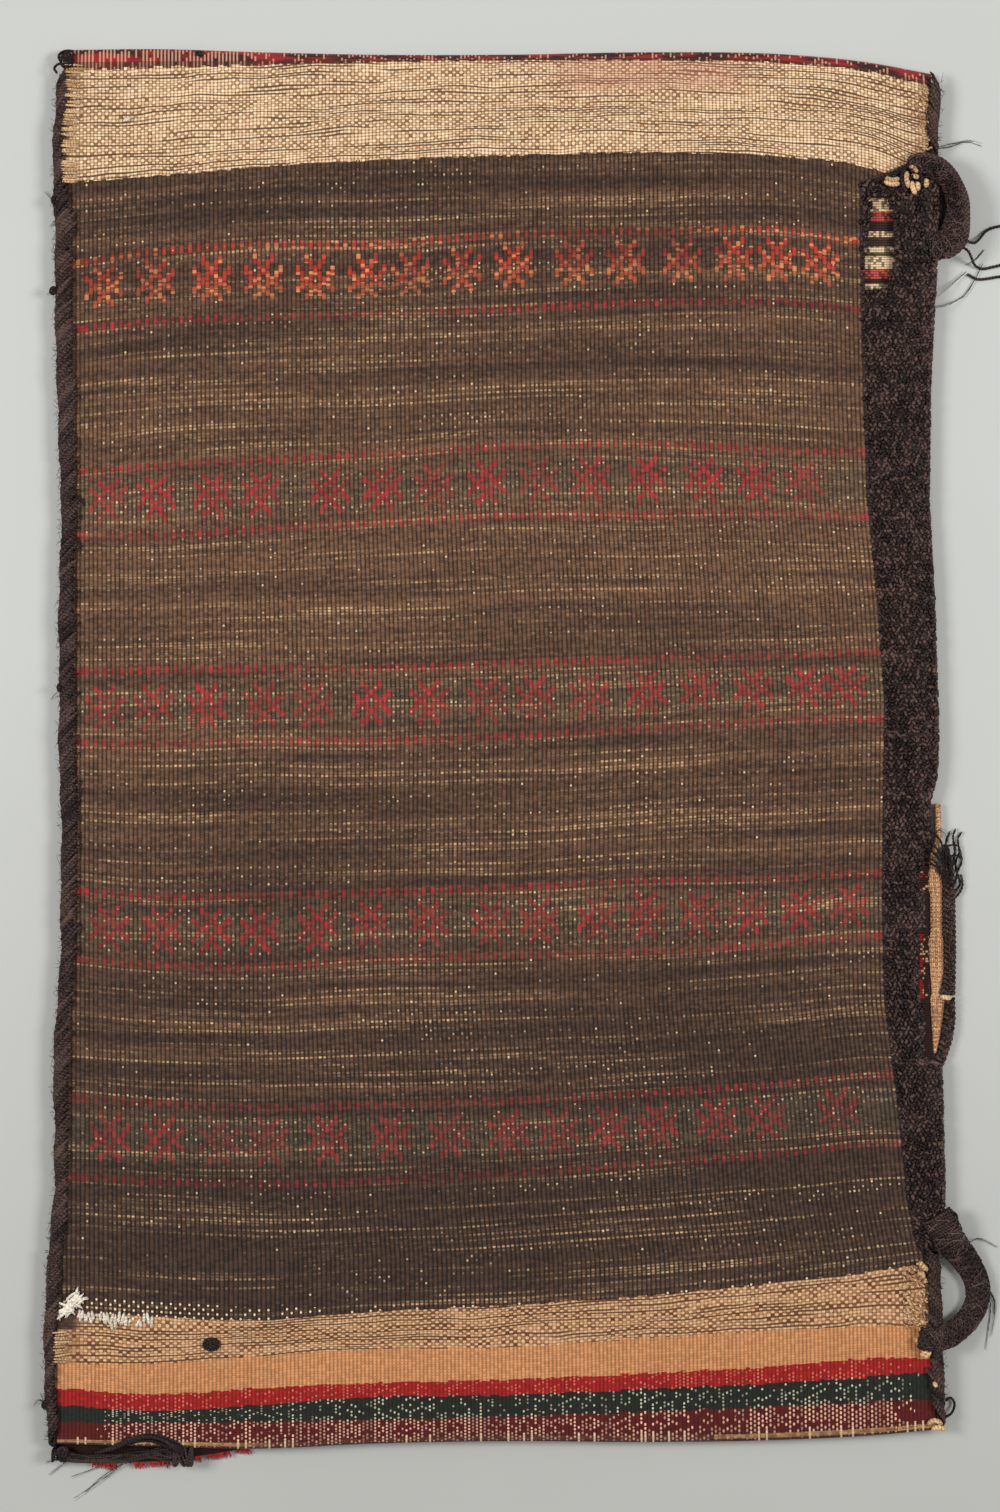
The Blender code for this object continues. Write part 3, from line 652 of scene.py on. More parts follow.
    # Painted shade: the stripes darken in the grooves between fine ribs; each speck also has its own tone
    stripe_shade_and_tone = 0.62 + fine_crown.rise(0.0, 0.9) * 0.5 + (speck_dice - 0.5) * 0.3
    stripe = cloth.brighten(ground, stripe_shade_and_tone)
    bare_side = (side + (thread_dice - 0.5) * 6).rise(9.0, 26.0)
    blotch = cloth.noise(cloth.join(rib * 0.05, up * 0.05), 1.0, 2.0).rise(0.25, 0.6)
    chain_share = (0.44 + in_maroon * 0.41 + over_green * 0.2) * (1 - in_tan)
    chain_share = chain_share * bare_side * (0.3 + 0.7 * blotch)
    small_dot = chain_dot.rise(0.3, 0.9)
    stripe_dot = small_dot + in_maroon * (chain_dot - small_dot)
    dot_part = stripe_dot * (chain_dice < chain_share) * (0.3 + 0.7 * column_dice)
    chain_colour = cloth.mix(in_maroon, paint(208, 208, 178), paint(250, 198, 166))
    chain_colour = cloth.mix(over_green, chain_colour, paint(226, 116, 96))
    stripe = cloth.mix(dot_part, stripe, chain_colour)
    hem_side = 1 - side.rise(95.0, 130.0) + (rib > 137.0) * 0.8
    hem_break = 0.35 + 0.65 * (chain_dice < 0.8)
    hem = (up < -420.8) * (up > -422.8) * (0.1 + 0.9 * hem_side.math("MINIMUM", 1.0)) * hem_break
    hem_tan = cloth.mix(chain_dice, paint(150, 104, 62), paint(214, 166, 108))
    stripe = cloth.mix(hem, stripe, hem_tan)
    stripe = cloth.mix((up < -423.2) * 0.85, stripe, paint(52, 36, 32))
    hem_tip = (up < -419.0) * (up > -424.4) * (column_dice > 0.85) * fine_crown.rise(0.3, 0.8)
    stripe = cloth.mix(hem_tip * 0.9, stripe, paint(240, 206, 168))

    # The fold's stripe: red and maroon, crossed by short cream dashes
    fold_red = cloth.noise(cloth.join(rib * 0.1, up * 0.3), 1.0, 2.0)
    fold_left = 1 - rib.rise(38.0, 48.0)
    fold = cloth.mix(fold_red.rise(0.44, 0.6), paint(62, 34, 30), paint(158, 40, 38))
    fold_dash = fine_crown.rise(0.3, 0.8) * (chain_dice < 0.35 + 0.4 * fold_left)
    fold = cloth.mix(fold_dash * 0.8, fold, paint(218, 166, 136))
    under_fold = (up < 434.8) * (1 - 0.5 * fold_dash)
    fold = cloth.mix(under_fold * 0.8, fold, paint(70, 44, 34))

    # Bare pale warps just above the lower cream band, many at the left
    bare_share = (1 - rib.rise(20.0, 80.0)) * 0.7 + 0.22
    bare = (up < -339.5 + bare_share * 9.5) * dot_shape.rise(0.0, 0.6) * parity * (dot_dice < bare_share)
    field = cloth.mix(bare, field, paint(238, 214, 176))
    wedge = (1 - side.rise(-3.0, 5.0)) * (up > -349.0) * (up < -340.0)
    cream = cloth.mix(wedge * 0.9, cream, paint(54, 40, 34))

    # The bands in order up the cloth
    in_lower_cream = (ragged > LOWER_CREAM[0]) * (ragged < LOWER_CREAM[1])
    in_upper_cream = (ragged > UPPER_CREAM[0]) * (ragged < UPPER_CREAM[1])
    in_field = (ragged > LOWER_CREAM[1]) * (ragged < UPPER_CREAM[0])
    in_cream = in_lower_cream + in_upper_cream
    above = cloth.mix(ragged > UPPER_CREAM[1], stripe, fold)
    colour = cloth.mix(in_field, above, field)
    colour = cloth.mix(in_cream, colour, cream)
    dust = cloth.noise(cloth.node("ShaderNodeTexCoord", output=3), 9.0, 2.0)
    colour = cloth.brighten(colour, 0.86 + dust * 0.28)
    relief = in_field * (crown * 0.5 + bead_round * 0.25 + dots * 0.4) + (1 - in_field) * speck * 0.8
    return cloth.dress(colour, relief, 0.35)


def make_flatweave():
    """The back, the fold and the flat end strip below, as one sheet."""
    x, y, rib, nominal = weave_grid()
    low, top = back_levels(x, y)
    in_field = ease(nominal, -342, -338) * (1 - ease(nominal, 371, 375))
    ribbed = RIB_RISE * (0.25 + 0.75 * in_field) * np.sin(np.pi * rib) ** 2
    back = np.stack([x, y, top + ribbed], axis=2)
    back_inner = np.stack([x, y, low], axis=2)

    # The fold turns down over a half circle, and the end strip runs back below
    angles = np.radians([60, 30, 0, -30, -60, -90])
    fold_rows = []
    inner_rows = []
    heights = []
    fold_x = x[-1]
    centre_y = y[-1] - FOLD_RADIUS
    for angle in angles:
        for rows, radius in ((fold_rows, FOLD_RADIUS), (inner_rows, FOLD_RADIUS - FOUNDATION)):
            ahead = centre_y + radius * np.cos(angle)
            level = np.full_like(fold_x, FOLD_RADIUS + radius * np.sin(angle))
            rows.append(np.stack([fold_x, ahead, level], axis=1))
        heights.append(nominal[-1] + FOLD_RADIUS * (np.pi / 2 - angle))
    for run in STRIP_RUNS:
        strip_y = centre_y - run
        fold_rows.append(np.stack([fold_x, strip_y, np.full_like(fold_x, FLOOR_GAP)], axis=1))
        inner_rows.append(np.stack([fold_x, strip_y, np.full_like(fold_x, FOUNDATION)], axis=1))
        heights.append(nominal[-1] + FOLD_RADIUS * np.pi + run)
    back[-1, :, 1] = centre_y
    back_inner[-1, :, 1] = centre_y
    back[-1, :, 2] = 2 * FOLD_RADIUS + ribbed[-1] * 0.5
    back_inner[-1, :, 2] = 2 * FOLD_RADIUS - BACK
    outer = np.concatenate([back, np.array(fold_rows)])
    inner = np.concatenate([back_inner, np.array(inner_rows)])

    extra = len(fold_rows)
    rib_all = np.concatenate([rib, np.repeat(rib[-1:], extra, axis=0)])
    up = np.concatenate([nominal, np.array(heights)])
    side = np.minimum(outer[:, :, 0] - FIELD_LEFT, straight(BACK_EDGE, outer[:, :, 1]) - outer[:, :, 0])
    middles = np.array([LINES[name][MIDDLE] for name in STARS], float)
    star_y = np.abs(up[:, :, None] - middles).min(axis=2)
    star_row = np.abs(up[:, :, None] - middles).argmin(axis=2)
    to_star = [np.abs(rib_all[:, :, None] - (np.array(row) + 0.5)).min(axis=2) for row in STARS.values()]
    star_x = np.choose(star_row, to_star)
    guards = np.array([LINES[name][MIDDLE] for name in LINES if name.startswith("guard")], float)
    guard = np.abs(up[:, :, None] - guards).min(axis=2)

    rows, columns = rib_all.shape
    keep_rows = sorted(set(range(0, rows - extra, COARSE_ROWS)) | set(range(rows - extra - 1, rows)))
    keep_columns = sorted(set(range(0, columns, COARSE_COLUMNS)) | {columns - 1})
    return thick_sheet(
        "flatwoven_back",
        outer,
        inner,
        keep_rows,
        keep_columns,
        flatweave_finish(),
        weave=np.stack([rib_all, up, side], axis=2),
        marks=np.stack([star_x, star_y, guard], axis=2),
    )


flatweave = make_flatweave()
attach(flatweave, "root")
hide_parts("bag_cloth")

# The left side: dark wool yarn sewn over and over both layers, three plies to a stitch, drawn tight so
# that the side lies lower than the open cloth. Each ply climbs from the underside round the side and
# lies slanted on the back.
UP = np.array([0.0, 0.0, 1.0])
ALONG = np.array([0.0, 1.0, 0.0])
ACROSS_BAG = np.array([1.0, 0.0, 0.0])
chance = np.random.default_rng(11)


def unit(vectors):
    """Vectors divided by their own lengths."""
    return vectors / np.maximum(np.linalg.norm(vectors, axis=-1, keepdims=True), 1e-9)


def rounded(stations, end=0.35):
    """Radius factors of a thread with rounded ends."""
    factors = np.ones(stations)
    factors[0] = factors[-1] = end
    return factors


class Bundle:
    """Threads and cords gathered into one mesh, with each one's twist and shade kept for its material."""

    def __init__(self):
        self.points = []
        self.faces = []
        self.twist = []
        self.shade = []
        self.count = 0

    def rings(self, rings, shade=None):
        """Closed tubes through rings: an array of tubes by stations by sides by three."""
        tubes, stations, sides, _ = rings.shape
        number = np.arange(tubes * stations * sides).reshape(tubes, stations, sides) + self.count
        after = np.roll(number, -1, axis=2)
        walls = np.stack([number[:, :-1], number[:, 1:], after[:, 1:], after[:, :-1]], axis=-1)
        self.faces += walls.reshape(-1, 4).tolist()
        self.faces += number[:, 0].tolist() + number[:, -1, ::-1].tolist()
        middle = rings.mean(axis=2)
        steps = np.linalg.norm(np.diff(middle, axis=1), axis=2)
        run = np.concatenate([np.zeros((tubes, 1)), np.cumsum(steps, axis=1)], axis=1)
        turn = 2 * np.pi * np.arange(sides) / sides
        shape = (tubes, stations, sides)
        twist = [np.broadcast_to(part, shape) for part in (run[:, :, None], np.cos(turn), np.sin(turn))]
        if shade is None:
            shade = chance.random(tubes)
        shade = np.broadcast_to(np.asarray(shade, float).reshape(-1, 1, 1), shape)
        self.points.append(rings.reshape(-1, 3))
        self.twist.append(np.stack(twist, axis=3).reshape(-1, 3))
        self.shade.append(shade.reshape(-1))
        self.count += tubes * stations * sides

    def tubes(self, routes, radius, sides=5, upright=UP, shade=None):
        """Round tubes along routes, an array of routes by stations by three. A ring is its middle plus the
        radius times (across cos + up sin), where across is square to the route and to `upright`."""
        routes = np.asarray(routes, float)
        if routes.ndim == 2:
            routes = routes[None]
        ahead = unit(np.gradient(routes, axis=1))
        across = unit(np.cross(ahead, upright))
        up = np.cross(across, ahead)
        turn = 2 * np.pi * np.arange(sides)[:, None] / sides
        size = np.broadcast_to(radius, routes.shape[:2])[:, :, None, None]
        circle = across[:, :, None] * np.cos(turn) + up[:, :, None] * np.sin(turn)
        self.rings(routes[:, :, None] + size * circle, shade)

    def make(self, name, finish):
        """One mesh of all the threads. What would pass the floor is pressed flat on it."""
        points = np.concatenate(self.points)
        points[:, 2] = np.maximum(points[:, 2], 0.0)
        twist = np.concatenate(self.twist)
        return make_mesh(name, points, self.faces, finish, twist=twist, shade=np.concatenate(self.shade))


def yarn_finish(name, dark, light, pitch=2.4, roughness=0.75, sheen=0.2, fuzziness=1.5):
    """Spun yarn, whose ridges wind once round it in each pitch, each thread in its own shade."""
    yarn = Finish(name, roughness, sheen)
    run, cosine, sine = yarn.field("twist")
    shade = yarn.node("ShaderNodeAttribute", {"attribute_name": "shade"}, output=2)
    phase = run * (2 * np.pi / pitch)
    ridge = phase.math("SINE") * cosine + phase.math("COSINE") * sine
    place = yarn.node("ShaderNodeTexCoord", output=3)
    fuzz = yarn.noise(place, 900.0, 2.0)
    drift = yarn.noise(place, 60.0, 2.0)
    # Painted shade: the ridge term darkens the grooves of the twist; shade, fuzz and drift give each thread
    # its own tone
    tone = shade * 0.55 + ridge * 0.16 + (fuzz - 0.5) * fuzziness + (drift - 0.5) * 0.6 + 0.12
    colour = yarn.mix(tone.rise(0.05, 1.0), dark, light)
    return yarn.dress(colour, ridge * 0.5 + fuzz * 0.6, 0.22)


def smooth_route(knots, count):
    """Evenly spaced points on a smooth curve through the knots."""
    knots = np.array(knots, float)
    padded = np.vstack([2 * knots[0] - knots[1], knots, 2 * knots[-1] - knots[-2]])
    place = np.linspace(0, len(knots) - 1.000001, 40 * len(knots))
    start = place.astype(int)
    share = (place - start)[:, None]
    before, here, after, beyond = (padded[start + step] for step in range(4))
    bend = 2 * before - 5 * here + 4 * after - beyond
    twist = 3 * (here - after) + beyond - before
    curve = here + 0.5 * share * (after - before + share * (bend + share * twist))
    run = np.concatenate([[0], np.cumsum(np.linalg.norm(np.diff(curve, axis=0), axis=1))])
    even = np.linspace(0, run[-1], count)
    return np.stack([np.interp(even, run, curve[:, axis]) for axis in range(3)], axis=1)


STITCH_PITCH = 5.3
PLIES = 3
PLY_RADIUS = 0.95
STITCH_SLANT = 12.5
# A ply's places: share of the reach in from the side, share of the height of the cloth, and of the slant
STITCH_SHAPE = np.array(
    [
        (0.80, 0.00, -0.3),
        (0.45, 0.00, -0.25),
        (0.15, 0.04, -0.2),
        (0.03, 0.22, -0.1),
        (0.00, 0.50, 0.0),
        (0.05, 0.80, 0.1),
        (0.18, 1.02, 0.25),
        (0.38, 1.10, 0.45),
        (0.60, 1.10, 0.66),
        (0.82, 1.04, 0.86),
        (1.00, 0.90, 1.0),
    ]
)
dark_wool = yarn_finish("dark_wool", paint(22, 14, 13), paint(102, 78, 70), 2.2, 0.8, 0.0)


def make_overcast(name, side_line, inward, high, low, reaches):
    """Overcast stitches along one side, over a plain core. They reach in as far as a table says."""
    bundle = Bundle()
    starts = np.arange(low + 2, high - STITCH_SLANT * 0.5, STITCH_PITCH / PLIES)
    starts = starts + chance.normal(0, 0.25, len(starts))
    share, height, slant = STITCH_SHAPE.T
    pull = 1 + chance.normal(0, 0.13, (len(starts), 1))
    stitch = np.arange(len(starts)) // PLIES
    shade = 0.6 * chance.random(stitch[-1] + 1)[stitch] + 0.35 * chance.random(len(starts))
    size = PLY_RADIUS * (1 + chance.normal(0, 0.16, (len(starts), 1)))
    loose = chance.uniform(0, 0.8, (len(starts), 1)) * (height > 0.95)
    swing = 0.5 * np.sin(stitch * 0.9)[:, None] + 0.35 * np.sin(stitch * 0.37)[:, None]
    y = starts[:, None] + STITCH_SLANT * slant * pull
    reach = straight(reaches, y)
    edge = straight(side_line, y) + inward * (PLY_RADIUS * 0.9 + swing * 0.8)
    x = edge + inward * reach * share * pull
    top = back_levels(edge + inward * reach * 0.6, y)[1] + 0.5
    z = size + top * height + loose
    bundle.tubes(np.stack([x, y, z], axis=2), size * rounded(len(share)), 6, upright=ALONG, shade=shade)

    stations = np.linspace(low, high, int((high - low) / 6))
    edge = straight(side_line, stations)
    reach = straight(reaches, stations)
    top = back_levels(edge + inward * reach * 0.6, stations)[1] + 0.8
    # Its corners: how far in, the height, and where that is a share of the cloth's height, what is added
    corners = (
        (reach - 1.2, 1.0, 0.0),
        (4.0, 1.0, 0.0),
        (1.6, 0.8, -0.3),
        (1.6, 0.1, None),
        (reach - 2, 0.1, None),
        (3.2, 1.6, None),
        (3.2, 0.9, 0.0),
    )
    core = np.empty((1, len(stations), len(corners), 3))
    for place, (inset, height, level) in enumerate(corners):
        core[0, :, place, 0] = edge + inward * inset
        core[0, :, place, 1] = stations
        core[0, :, place, 2] = height if level is None else top * height + level
    bundle.rings(core, 0.1)
    return bundle.make(name, dark_wool)


LEFT_REACHES = ((-430, 6.4), (-354, 6.4), (-338, 8.6), (-150, 8.8), (-60, 10.5), (348, 10.5))
LEFT_REACHES += ((358, 6.6), (430, 6.6))
UPPER_REACHES = ((373, 6.5), (419, 6.5))
LOWER_REACHES = ((-415, 7.2), (-365, 7.4), (-340, 8.6), (-308, 8.6))
left_overcast = make_overcast("left_overcast", LEFT_SIDE, 1, 424.0, -428.0, LEFT_REACHES)
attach(left_overcast, "root")
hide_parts("left_edging")

# The right side: the same overcast, narrow and dark, above and below the goat-hair band.
for name, node, high, low, reaches in (
    ("upper_right_overcast", "upper_right_edging", 419.0, 373.0, UPPER_REACHES),
    ("lower_right_overcast", "lower_right_edging", -308.0, -415.0, LOWER_REACHES),
):
    piece = make_overcast(name, RIGHT_SIDE, -1, high, low, reaches)
    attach(piece, "root")
    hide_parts(node)

# The goat-hair band that joins the back to the face at the right: row on row of small looped knots in
# coarse, glossy, nearly black hair yarn. It turns down round the side to the floor, a window is worn
# through it near the top, and in the slit its outer side is torn away.
BAND_TOP = 370.5
BAND_BOTTOM = -306.5
BAND_EDGE = ((-306.5, 263), (-268, 264), (-190.5, 262), (-187.5, 252.6), (-153, 252.6), (-150, 249.4))
BAND_EDGE += ((-110, 249.4), (-107, 252.8), (-84, 252.8), (-82, 249.4), (-71, 249.4), (-69, 252.4))
BAND_EDGE += ((-58.5, 252.4), (-55.5, 255), (-27, 255), (-12, 259), (11, 260), (86, 258), (160, 254))
BAND_EDGE += ((234, 255), (309, 259), (370.5, 260.5))
BAND_WALL = 3.0
BAND_RISE = 0.9
WINDOW = ((346, 219.5, 231), (338, 219, 232), (322, 216.8, 234.4), (305, 215.6, 234), (297, 215, 231.5))
WINDOW += ((289.5, 215.4, 226.5),)
KNOT_STEP = 2.6
KNOT_ROW = 2.75
KNOT_RADIUS = 0.98
ACROSS_STEPS = 18
WALL_STEPS = 4
SLIT = (-186.0, -56.0)
BAND_ROWS = 290


def band_surface(y, share):
    """Points of the band's outer surface and of the surface below it. The share runs from 0 at the back's
    edge to 1 at the band's outer edge, and on to 2 down its outer wall."""
    inner = straight(BACK_EDGE, y) - 0.4
    outer = straight(BAND_EDGE, y)
    flat = np.clip(share, 0, 1)
    fall = np.clip(share - 1, 0, 1)
    x = inner + flat * (outer - inner)
    rest = face_levels(np.minimum(x, outer - BAND_WALL), y)[1] + 0.3
    crown = np.maximum(back_levels(inner - 1, y)[1], rest + 2.6) + BAND_RISE
    dome = crown - 0.7 * (1 - ease(flat, 0.0, 0.2)) - 1.4 * ease(flat, 0.75, 1.0)
    z = dome * (1 - fall) + 0.3 * fall
    bulge = 0.5 * np.sin(np.pi * fall)
    upper = np.stack([x + bulge, y, z], axis=-1)
    under_z = np.minimum(rest, z - 1.0) * (1 - fall) + 0.3 * fall
    lower = np.stack([x - BAND_WALL * ease(share, 0.9, 1.1), y, under_z], axis=-1)
    return upper, lower


def in_window(x, y):
    """True between the two sides of the worn window, which two sine waves make ragged."""
    table = WINDOW[::-1]
    left = straight([(row[0], row[1]) for row in table], y)
    right = straight([(row[0], row[2]) for row in table], y)
    ragged = 0.8 * np.sin(y * 0.83) + 0.5 * np.sin(y * 2.1)
    return (x > left + ragged) & (x < right - ragged) & (y > table[0][0]) & (y < table[-1][0])


def make_band():
    """The band's slab on a mask of cells, and its knots as small threads arched over the slab."""
    y_lines = np.linspace(BAND_BOTTOM, BAND_TOP, BAND_ROWS)
    down_wall = 1 + np.linspace(0, 1, WALL_STEPS + 1)[1:]
    shares = np.concatenate([np.linspace(0, 1, ACROSS_STEPS + 1), down_wall])
    y, share = np.meshgrid(y_lines, shares, indexing="ij")
    upper, lower = band_surface(y, share)
    middle = (upper[1:, 1:] + upper[:-1, :-1]) / 2
    slit = (middle[:, :, 1] > SLIT[0]) & (middle[:, :, 1] < SLIT[1])
    torn = slit & (np.arange(len(shares) - 1) >= ACROSS_STEPS)
    kept = ~in_window(middle[:, :, 0], middle[:, :, 1]) & ~torn
    rows, columns = y.shape
    top = np.arange(rows * columns).reshape(rows, columns)
    low = top + rows * columns
    faces = np.stack([top[:-1, :-1], top[:-1, 1:], top[1:, 1:], top[1:, :-1]], axis=-1)[kept].tolist()
    faces += np.stack([low[:-1, :-1], low[1:, :-1], low[1:, 1:], low[:-1, 1:]], axis=-1)[kept].tolist()
    bordered = np.pad(kept, 1)
    # Walls where a kept cell meets no cell, on each of its four sides
    for row_step, column_step, (a, b) in (
        (-1, 0, ((0, 0), (0, 1))),
        (1, 0, ((1, 1), (1, 0))),
        (0, -1, ((1, 0), (0, 0))),
        (0, 1, ((0, 1), (1, 1))),
    ):
        rows_to = slice(1 + row_step, bordered.shape[0] - 1 + row_step)
        columns_to = slice(1 + column_step, bordered.shape[1] - 1 + column_step)
        bare = kept & ~bordered[rows_to, columns_to]
        i, j = np.nonzero(bare)
        first, second = (i + a[0], j + a[1]), (i + b[0], j + b[1])
        faces += np.stack([top[second], top[first], low[first], low[second]], axis=-1).tolist()
    slab = Bundle()
    used, renumbered = np.unique(np.array(faces), return_inverse=True)
    points = np.concatenate([upper.reshape(-1, 3), lower.reshape(-1, 3)])[used]
    slab.points.append(points)
    slab.faces = renumbered.reshape(-1, 4).tolist()
    slab.twist.append(np.tile([0.0, 1.0, 0.0], (len(points), 1)))
    slab.shade.append(np.full(len(points), 0.12))
    slab.count = len(points)

    # Knots in staggered rows, each one leaning the other way from its neighbours
    knot_rows = np.arange(BAND_BOTTOM + 0.8, BAND_TOP, KNOT_ROW)
    length = straight(BAND_EDGE, knot_rows) - straight(BACK_EDGE, knot_rows)
    places = []
    for number, (row, run) in enumerate(zip(knot_rows, length)):
        count = int(run / KNOT_STEP)
        steps = (np.arange(count) + 0.25 + 0.5 * (number % 2)) / count
        down = 1 + (np.arange(4) + 0.5 * (number % 2)) / 4
        if SLIT[0] < row < SLIT[1]:
            down = down[:0]
        steps = np.concatenate([steps, down])
        places.append(np.stack([np.full(len(steps), row), steps, np.arange(len(steps)) + number], axis=1))
    row, step, order = np.concatenate(places).T
    row = row + chance.normal(0, 0.4, len(row))
    step = step + chance.normal(0, 0.012, len(row))
    lean = np.radians(np.where(order % 2 == 0, 58, 122) + chance.normal(0, 22, len(row)))
    reach = 1.9 * (1 + chance.normal(0, 0.2, len(row)))
    arc = np.linspace(-1, 1, 4)
    y = row[:, None] + (reach * np.sin(lean))[:, None] * arc
    width = straight(BAND_EDGE, row) - straight(BACK_EDGE, row)
    share = step[:, None] + (reach * np.cos(lean) / width)[:, None] * arc
    share = np.clip(share, 0.0, 1.98)
    surface, _ = band_surface(np.clip(y, BAND_BOTTOM, BAND_TOP), share)
    fall = np.clip(share - 1, 0, 1)[:, :, None]
    outward = unit((1 - ease(fall, 0, 0.3)) * UP + ease(fall, 0, 0.3) * ACROSS_BAG)
    lift = (-0.25 + 1.2 * (1 - arc**2))[None, :, None] * (1 + chance.normal(0, 0.22, (len(row), 1, 1)))
    routes = surface + outward * lift
    open_place = in_window(routes[:, 1, 0], routes[:, 1, 1])
    routes = routes[~open_place]
    radius = KNOT_RADIUS * np.array([0.6, 1.0, 1.0, 0.6]) * (1 + chance.normal(0, 0.14, (len(routes), 1)))
    shade = chance.random(len(routes)) ** 1.3
    slab.tubes(routes, radius, 4, shade=shade)
    return slab.make("goat_hair_band", goat_hair)


goat_hair = yarn_finish("goat_hair", paint(24, 14, 13), paint(112, 86, 78), 1.9, 0.55, 0.0, 0.7)
band = make_band()
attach(band, "root")
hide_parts("joining_band")

# The two closing loops of goat hair at the right, sewn down at both ends. The upper one stands on edge,
# close to the side: it is wrapped all along, and a three-ply rope runs on its outer edge. The lower one
# lies flat: its root is wrapped across, and its arc is braided.
UPPER_LOOP = ((243, 366, 12.4), (250, 367.6, 12.6), (257.5, 366, 12.4), (263.1, 362.3, 11.6))
UPPER_LOOP += ((267.8, 356.6, 10.8), (271.6, 348.6, 10.6), (273, 340.5, 10.6), (271.4, 329.5, 11.2))
UPPER_LOOP += ((268.6, 321.2, 12), (263, 316.6, 12), (255, 315, 10.6))
LOWER_LOOP = ((259.5, -284, 12.3), (264.4, -292, 11.8), (269.4, -301.2, 9.2), (277, -310.5, 5.2))
LOWER_LOOP += ((283, -319.8, 3.8), (286, -329.1, 3.8), (285.6, -338.4, 3.8), (281.1, -347.7, 4.4))
LOWER_LOOP += ((273.4, -354.6, 8.6), (265, -358.8, 13.2), (256.5, -360.6, 14.4), (248.5, -359.5, 13.2))
LOOP_STATIONS = 120
CORE_SIDES = 14
STRANDS = 7
STRAND_TURN = 26.0
ROPE_TURN = 6.0
ROPE_PLY = 1.1


def cord_rings(route, width, height, tilt, turns):
    """Rings of a flat oval cord: its middle plus wide cos t + tall sin t at each station, for each t."""
    ahead = unit(np.gradient(route, axis=0))
    level = unit(np.cross(ahead, UP))
    rise = np.cross(level, ahead)
    lean = np.radians(tilt)[:, None]
    wide = (level * np.cos(lean) + rise * np.sin(lean)) * width[:, None] / 2
    tall = (rise * np.cos(lean) - level * np.sin(lean)) * height[:, None] / 2
    aside = wide[:, None] * np.cos(turns)[..., None]
    return route[:, None] + aside + tall[:, None] * np.sin(turns)[..., None]


def make_loop(name, knots, widths, heights, tilts, wrap_pitch, wrapped, rope, hairs, light):
    """A core with close wraps on its first share, strands that cross both ways on the rest, loose hairs, and
    where asked a rope of three plies along its outer edge. A thread's place round the cord grows with its
    run: the wraps turn once in each two pitches, and the strands once in each strand turn."""
    route = smooth_route(knots, LOOP_STATIONS)
    share = np.linspace(0, 1, LOOP_STATIONS)
    width, height, tilt = (np.interp(share, np.linspace(0, 1, len(t)), t) for t in (widths, heights, tilts))
    bundle = Bundle()
    core_turns = np.broadcast_to(2 * np.pi * np.arange(CORE_SIDES) / CORE_SIDES, (LOOP_STATIONS, CORE_SIDES))
    bundle.rings(cord_rings(route, width - 1.6, height - 1.4, tilt, core_turns)[None], 0.0)
    total = np.linalg.norm(np.diff(route, axis=0), axis=1).sum()
    ahead = unit(np.gradient(route, axis=0))

    def spot(places, turns, out):
        """Points round the cord, `out` further apart than its own width and height, and the way ahead."""
        middle, forward = (
            np.stack([np.interp(places, share, part[:, axis]) for axis in range(3)], axis=1)
            for part in (route, ahead)
        )
        wide = np.interp(places, share, width) + out
        tall = np.interp(places, share, height) + out
        return cord_rings(middle, wide, tall, np.interp(places, share, tilt), turns[:, None])[:, 0], forward

    def lay(places, turns, radius, out, shade):
        """One thread on the cord's skin, a little uneven along its way."""
        points, forward = spot(places, turns, out - 2 * radius)
        points = points + chance.normal(0, 0.14, points.shape)
        bundle.tubes(points, radius * rounded(len(places)), 5, upright=forward, shade=shade)

    for phase in (0.0, 0.5):
        places = np.linspace(0, wrapped, int(total * wrapped / wrap_pitch * 7))
        turns = 2 * np.pi * (places * total / wrap_pitch / 2 + phase)
        shade = light * (0.1 + 0.25 * chance.random())
        lay(places, turns, wrap_pitch * 0.56, 0.5 + 0.4 * np.sin(turns * 0.31), shade)
    for hand in (1, -1):
        for strand in range(STRANDS if wrapped < 1 else 0):
            places = np.linspace(wrapped * 0.92, 1.0, 210)
            run = places * total
            turns = hand * 2 * np.pi * (run / STRAND_TURN + strand / STRANDS)
            over = 0.5 * hand * np.cos(2 * np.pi * run * STRANDS / STRAND_TURN + strand * np.pi)
            lay(places, turns, 1.2, 0.6 + over, 0.16 * chance.random())
    for _ in range(hairs):
        start = chance.uniform(0, 0.94)
        places = np.linspace(start, min(1.0, start + chance.uniform(1.5, 6.0) / total), 6)
        turns = chance.uniform(0, 2 * np.pi) + chance.normal(0, 0.9) * np.linspace(0, 1, 6)
        lay(places, turns, chance.uniform(0.3, 0.65), 1.3 + 0.5 * rope, chance.random() ** (1.6 / light))
    if rope:
        places = np.linspace(0.06, 0.9, 240)
        edge, forward = spot(places, np.full(len(places), np.pi), -1.5)
        level = unit(np.cross(forward, UP))
        rise = np.cross(level, forward)
        for ply in range(3):
            turn = (places * total / ROPE_TURN + ply / 3)[:, None] * 2 * np.pi
            points = edge + ROPE_PLY * (level * np.cos(turn) + rise * np.sin(turn))
            bundle.tubes(points, ROPE_PLY * rounded(len(places)), 6, shade=0.3 + 0.5 * chance.random())
    piece = bundle.make(name, goat_hair)
    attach(piece, "root")
    return piece


